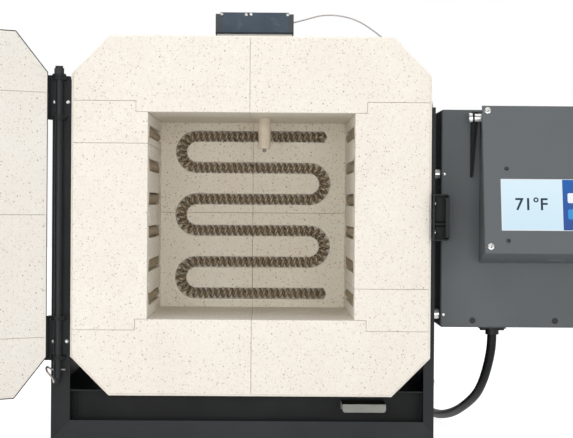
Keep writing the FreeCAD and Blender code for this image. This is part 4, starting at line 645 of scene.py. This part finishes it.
def make_screw_heads():
    bright = zinc("screw_zinc")
    dark = moulded_black("screw_black_oxide", "08090A", "101113", 0.22, 0.9)
    for node, body in (("casing_screws", "body"), ("frame_bolts", "body"), ("small_screws", "body"),
                       ("door_screws", "door"), ("head_screws", "head")):
        bm = bmesh.new()
        for points in islands(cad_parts[node].data):
            radius = screw_axis(points)[4]
            add_screw(bm, points, 1 if node == "head_screws" and radius < 3 * MM else 0)
        mesh = bpy.data.meshes.new(node + "_detailed")
        bmesh.ops.remove_doubles(bm, verts=bm.verts, dist=1e-7)
        bm.to_mesh(mesh)
        bm.free()
        heads = bpy.data.objects.new(node + "_detailed", mesh)
        mesh.materials.append(bright)
        mesh.materials.append(dark)
        bpy.context.scene.collection.objects.link(heads)
        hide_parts(node)
        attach(heads, body)


# Heating coils: a true helix of wire along each serpentine

def serpentine(near, far, end, pitch):
    """The element's centreline as (u, v) points about a millimetre apart, from its top end."""
    radius = pitch / 2
    points = []
    here = end
    for row in range(ROWS):
        v = pitch * ((ROWS - 1) / 2 - row)
        side = -1 if row % 2 == 0 else 1
        stop = end if row == ROWS - 1 else (near if side < 0 else far)
        steps = int(abs(stop - here))
        points += [(here + (stop - here) * k / steps, v) for k in range(steps)]
        if row < ROWS - 1:
            arc_steps = int(math.pi * radius)
            for k in range(arc_steps):
                a = math.pi * k / arc_steps
                points.append((stop + side * radius * math.sin(a), v - radius + radius * math.cos(a)))
        here = stop
    points.append((end, -pitch * (ROWS - 1) / 2))
    return points


def helix(centreline, place):
    """Wire points round the centreline; place turns (u, depth, v) into a point of the frame."""
    radius = (COIL_OUTER_D - COIL_WIRE_D) / 2
    wire = []
    travelled = 0.0
    for (u0, v0), (u1, v1) in zip(centreline, centreline[1:]):
        step = math.hypot(u1 - u0, v1 - v0)
        du, dv = (u1 - u0) / step, (v1 - v0) / step
        for k in range(COIL_STEPS):
            share = k / COIL_STEPS
            a = 2 * math.pi * (travelled + share * step) / COIL_PITCH
            out = radius * math.cos(a)
            side = radius * math.sin(a)
            u = u0 + share * (u1 - u0) + side * dv
            v = v0 + share * (v1 - v0) - side * du
            wire.append(place(u, COIL_SINK + out, v))
        travelled += step
    return wire


def make_coil(name, node, centreline, place, lead_place, lead_vs):
    coil = spline_object(name, helix(centreline, place), COIL_WIRE_D / 2, kind="POLY", bevel=2)
    coil.data.materials.append(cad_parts[node].material_slots[0].material)
    for v in lead_vs:
        lead = coil.data.splines.new("POLY")
        lead.points.add(1)
        for i, point in enumerate(lead_place(v)):
            lead.points[i].co = (*point, 1)
            lead.points[i].radius = LEAD_D / COIL_WIRE_D
    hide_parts(node)
    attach(coil, "body")


def make_coils():
    half = BACK_ROW_PITCH / 2
    line = serpentine(-BACK_RUN + half, BACK_RUN - half, BACK_RUN, BACK_ROW_PITCH)
    ends = (BACK_ROW_PITCH * 2.5, -BACK_ROW_PITCH * 2.5)
    lead_u = BACK_RUN - LEAD_D
    make_coil(
        "back_coil", "back_element", line,
        lambda u, depth, v: at(u, CHAMBER_D + depth, v),
        lambda v: (at(lead_u, CHAMBER_D + COIL_SINK, v), at(lead_u, LEAD_END, v)), ends)
    line = serpentine(SIDE_NEAR, SIDE_FAR, SIDE_END, SIDE_ROW_PITCH)
    ends = (SIDE_ROW_PITCH * 2.5, -SIDE_ROW_PITCH * 2.5)
    for name, side in (("left", -1), ("right", 1)):
        make_coil(
            name + "_coil", name + "_element", line,
            lambda u, depth, v, side=side: at(side * (CHAMBER_HALF + depth), u, v),
            lambda v, side=side: (
                at(side * (CHAMBER_HALF + COIL_SINK), SIDE_END - 4, v),
                at(side * (CHAMBER_HALF + COIL_SINK), LEAD_END, v)),
            ends)


# Display: its picture is a set of thin plates on the glass

def on_panel(across, down, out=0.0):
    a = math.radians(HEAD_TILT)
    y = HEAD_TOP_Y - down * math.sin(a) - out * math.cos(a)
    z = HEAD_TOP_Z - down * math.cos(a) + out * math.sin(a)
    return at(HEAD_L + across, y, z)


def panel_matrix(across, down, out):
    """Axes for flat art on the panel: X across it, Y up it, Z out of it."""
    a = math.radians(HEAD_TILT)
    x = Vector((1, 0, 0))
    y = Vector((0, math.sin(a), math.cos(a)))
    z = Vector((0, -math.cos(a), math.sin(a)))
    return Matrix.Translation(on_panel(across, down, out)) @ Matrix((x, y, z)).transposed().to_4x4()


def rounded_plate(name, width, height, corner, thickness, matrix, material):
    """A flat plate with rounded corners, its lower left corner at the matrix's origin."""
    data = bpy.data.curves.new(name, "CURVE")
    data.dimensions = "2D"
    data.fill_mode = "BOTH"
    data.extrude = thickness * MM / 2
    spline = data.splines.new("POLY")
    corners = (
        (width - corner, corner, -90), (width - corner, height - corner, 0),
        (corner, height - corner, 90), (corner, corner, 180))
    outline = []
    for cx, cy, start in corners:
        for k in range(7):
            a = math.radians(start + 15 * k)
            outline.append((cx + corner * math.cos(a), cy + corner * math.sin(a)))
    spline.points.add(len(outline) - 1)
    for point, (x, y) in zip(spline.points, outline):
        point.co = (x * MM, y * MM, 0, 1)
    spline.use_cyclic_u = True
    plate = bpy.data.objects.new(name, data)
    plate.matrix_world = matrix
    data.materials.append(material)
    bpy.context.scene.collection.objects.link(plate)
    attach(plate, "head")


def flat_text(name, words, size, matrix, material):
    data = bpy.data.curves.new(name, "FONT")
    data.body = words
    data.size = size * MM
    data.extrude = 0.04 * MM
    data.offset = 0.3 * MM
    data.materials.append(material)
    piece = bpy.data.objects.new(name, data)
    piece.matrix_world = matrix
    bpy.context.scene.collection.objects.link(piece)
    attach(piece, "head")


def make_display():
    out = -SCREEN_BACK
    top = SCREEN_DROP + 0.8
    height = SCREEN_H - 1.6
    left = SCREEN_LEFT + 0.8
    width = SCREEN_W - 1.6
    pale = lit_screen("display_pale", "DFF4FD", "D4ECFA", 0.98)
    blue = lit_screen("display_blue", "2B6ABC", "3C5BA3", 0.9)
    white = lit_screen("display_white", "FFFFFF", "F4FAFF", 0.95)
    sky = lit_screen("display_sky", "4FB2F2", "3E9FE4", 0.9)
    ink = lit_screen("display_ink", "283B4E", "33475B", 0.8)
    rounded_plate(
        "display_main", SCREEN_SPLIT - 1.2, height - 1.2, 0.3, 0.08,
        panel_matrix(left + 0.6, top + height - 0.6, out + 0.05), pale)
    rounded_plate(
        "display_column", width - SCREEN_SPLIT, height, 0.3, 0.08,
        panel_matrix(left + SCREEN_SPLIT, top + height, out + 0.05), blue)
    button_left = left + SCREEN_SPLIT + 6
    button_w = width - SCREEN_SPLIT - 12
    for name, down, colour in (("upper", 29.5, white), ("lower", 50.0, sky)):
        rounded_plate(
            "display_button_" + name, button_w, 12.5, 2, 0.08,
            panel_matrix(button_left, top + down, out + 0.15), colour)
    flat_text("display_reading", "71°F", 21.5, panel_matrix(left + 15.6, top + 38.5, out + 0.15), ink)


# Stage

SKY_LIGHT = 0.5
FLOOR_SHADE = 0.5
FLOOR_GLOW = 0.9


def white_seen(tree):
    """1 where a surface or the sky is seen straight, in a reflection or through glass."""
    paths = tree.nodes.new("ShaderNodeLightPath")
    seen = paths.outputs["Is Camera Ray"]
    for kind in ("Is Glossy Ray", "Is Transmission Ray"):
        either = tree.nodes.new("ShaderNodeMath")
        either.operation = "MAXIMUM"
        tree.links.new(seen, either.inputs[0])
        tree.links.new(paths.outputs[kind], either.inputs[1])
        seen = either.outputs[0]
    return paths.outputs["Is Camera Ray"], seen


def make_sky():
    """White wherever it is seen. It lights less than that, and the side behind the camera stays dim."""
    world = bpy.data.worlds.new("studio")
    bpy.context.scene.world = world
    world.use_nodes = True
    tree = world.node_tree
    tree.nodes.clear()
    camera_ray, seen = white_seen(tree)
    coords = tree.nodes.new("ShaderNodeTexCoord")
    split = tree.nodes.new("ShaderNodeSeparateXYZ")
    tree.links.new(coords.outputs["Generated"], split.inputs[0])
    behind = tree.nodes.new("ShaderNodeMapRange")
    tree.links.new(split.outputs["Y"], behind.inputs["Value"])
    for name, value in (("From Min", -0.75), ("From Max", 0.1), ("To Min", 0.12), ("To Max", 1.0)):
        behind.inputs[name].default_value = value
    strength = tree.nodes.new("ShaderNodeMath")
    strength.operation = "MAXIMUM"
    tree.links.new(behind.outputs[0], strength.inputs[0])
    tree.links.new(camera_ray, strength.inputs[1])
    white = tree.nodes.new("ShaderNodeBackground")
    white.inputs["Color"].default_value = (1, 1, 1, 1)
    tree.links.new(strength.outputs[0], white.inputs["Strength"])
    lighting = tree.nodes.new("ShaderNodeBackground")
    lighting.inputs["Color"].default_value = (1.0, 0.99, 0.975, 1)
    lighting.inputs["Strength"].default_value = SKY_LIGHT
    mix = tree.nodes.new("ShaderNodeMixShader")
    out = tree.nodes.new("ShaderNodeOutputWorld")
    tree.links.new(seen, mix.inputs[0])
    tree.links.new(lighting.outputs[0], mix.inputs[1])
    tree.links.new(white.outputs[0], mix.inputs[2])
    tree.links.new(mix.outputs[0], out.inputs["Surface"])


def floor_material():
    """Pale floor that is seen as white, with the object's shadow left on it."""
    s = Shader("floor", roughness=0.9, specular=0.0)
    s.set("Base Color", s.mix(s.noise(3.0), (0.88, 0.88, 0.88, 1), (0.92, 0.92, 0.92, 1)))
    shadowed = s.tree.nodes.new("ShaderNodeBsdfDiffuse")
    shadowed.inputs["Color"].default_value = (FLOOR_SHADE, FLOOR_SHADE, FLOOR_SHADE, 1)
    glow = s.tree.nodes.new("ShaderNodeEmission")
    glow.inputs["Strength"].default_value = FLOOR_GLOW
    both = s.tree.nodes.new("ShaderNodeAddShader")
    s.tree.links.new(shadowed.outputs[0], both.inputs[0])
    s.tree.links.new(glow.outputs[0], both.inputs[1])
    mix = s.tree.nodes.new("ShaderNodeMixShader")
    s.tree.links.new(white_seen(s.tree)[1], mix.inputs[0])
    s.tree.links.new(s.surface.outputs[0], mix.inputs[1])
    s.tree.links.new(both.outputs[0], mix.inputs[2])
    s.tree.links.new(mix.outputs[0], s.tree.nodes["Material Output"].inputs["Surface"])
    return s.material


def make_floor():
    data = bpy.data.meshes.new("floor")
    reach = 12.0
    corners = [(-reach, -reach, 0), (reach, -reach, 0), (reach, reach, 0), (-reach, reach, 0)]
    data.from_pydata(corners, [], [(0, 1, 2, 3)])
    data.materials.append(floor_material())
    floor = bpy.data.objects.new("floor", data)
    bpy.context.scene.collection.objects.link(floor)


def area_light(name, position, target, size, power):
    data = bpy.data.lights.new(name, "AREA")
    data.shape = "RECTANGLE"
    data.size, data.size_y = size
    data.energy = power
    light = bpy.data.objects.new(name, data)
    light.location = Vector(position)
    light.rotation_euler = (Vector(target) - Vector(position)).to_track_quat("-Z", "Y").to_euler()
    bpy.context.scene.collection.objects.link(light)


def make_lights():
    target = at(50, 23, 16)
    area_light("front_light", at(0, -4200, 80), target, (1.8, 1.0), 60)
    area_light("left_light", at(-2800, -3100, 300), target, (1.6, 1.4), 18)
    area_light("right_light", at(2800, -3100, 300), target, (1.6, 1.4), 20)
    area_light("key_light", at(-300, -3000, 2300), target, (1.6, 1.2), 6)
    area_light("top_light", at(0, -400, 2000), target, (2.0, 2.0), 7)


make_camera()
make_cords()
paint_nodes()
soften_edges()
make_screw_heads()
make_keeper_rivets()
make_coils()
make_display()
bpy.context.scene.view_settings.view_transform = "Standard"
make_sky()
make_floor()
make_lights()
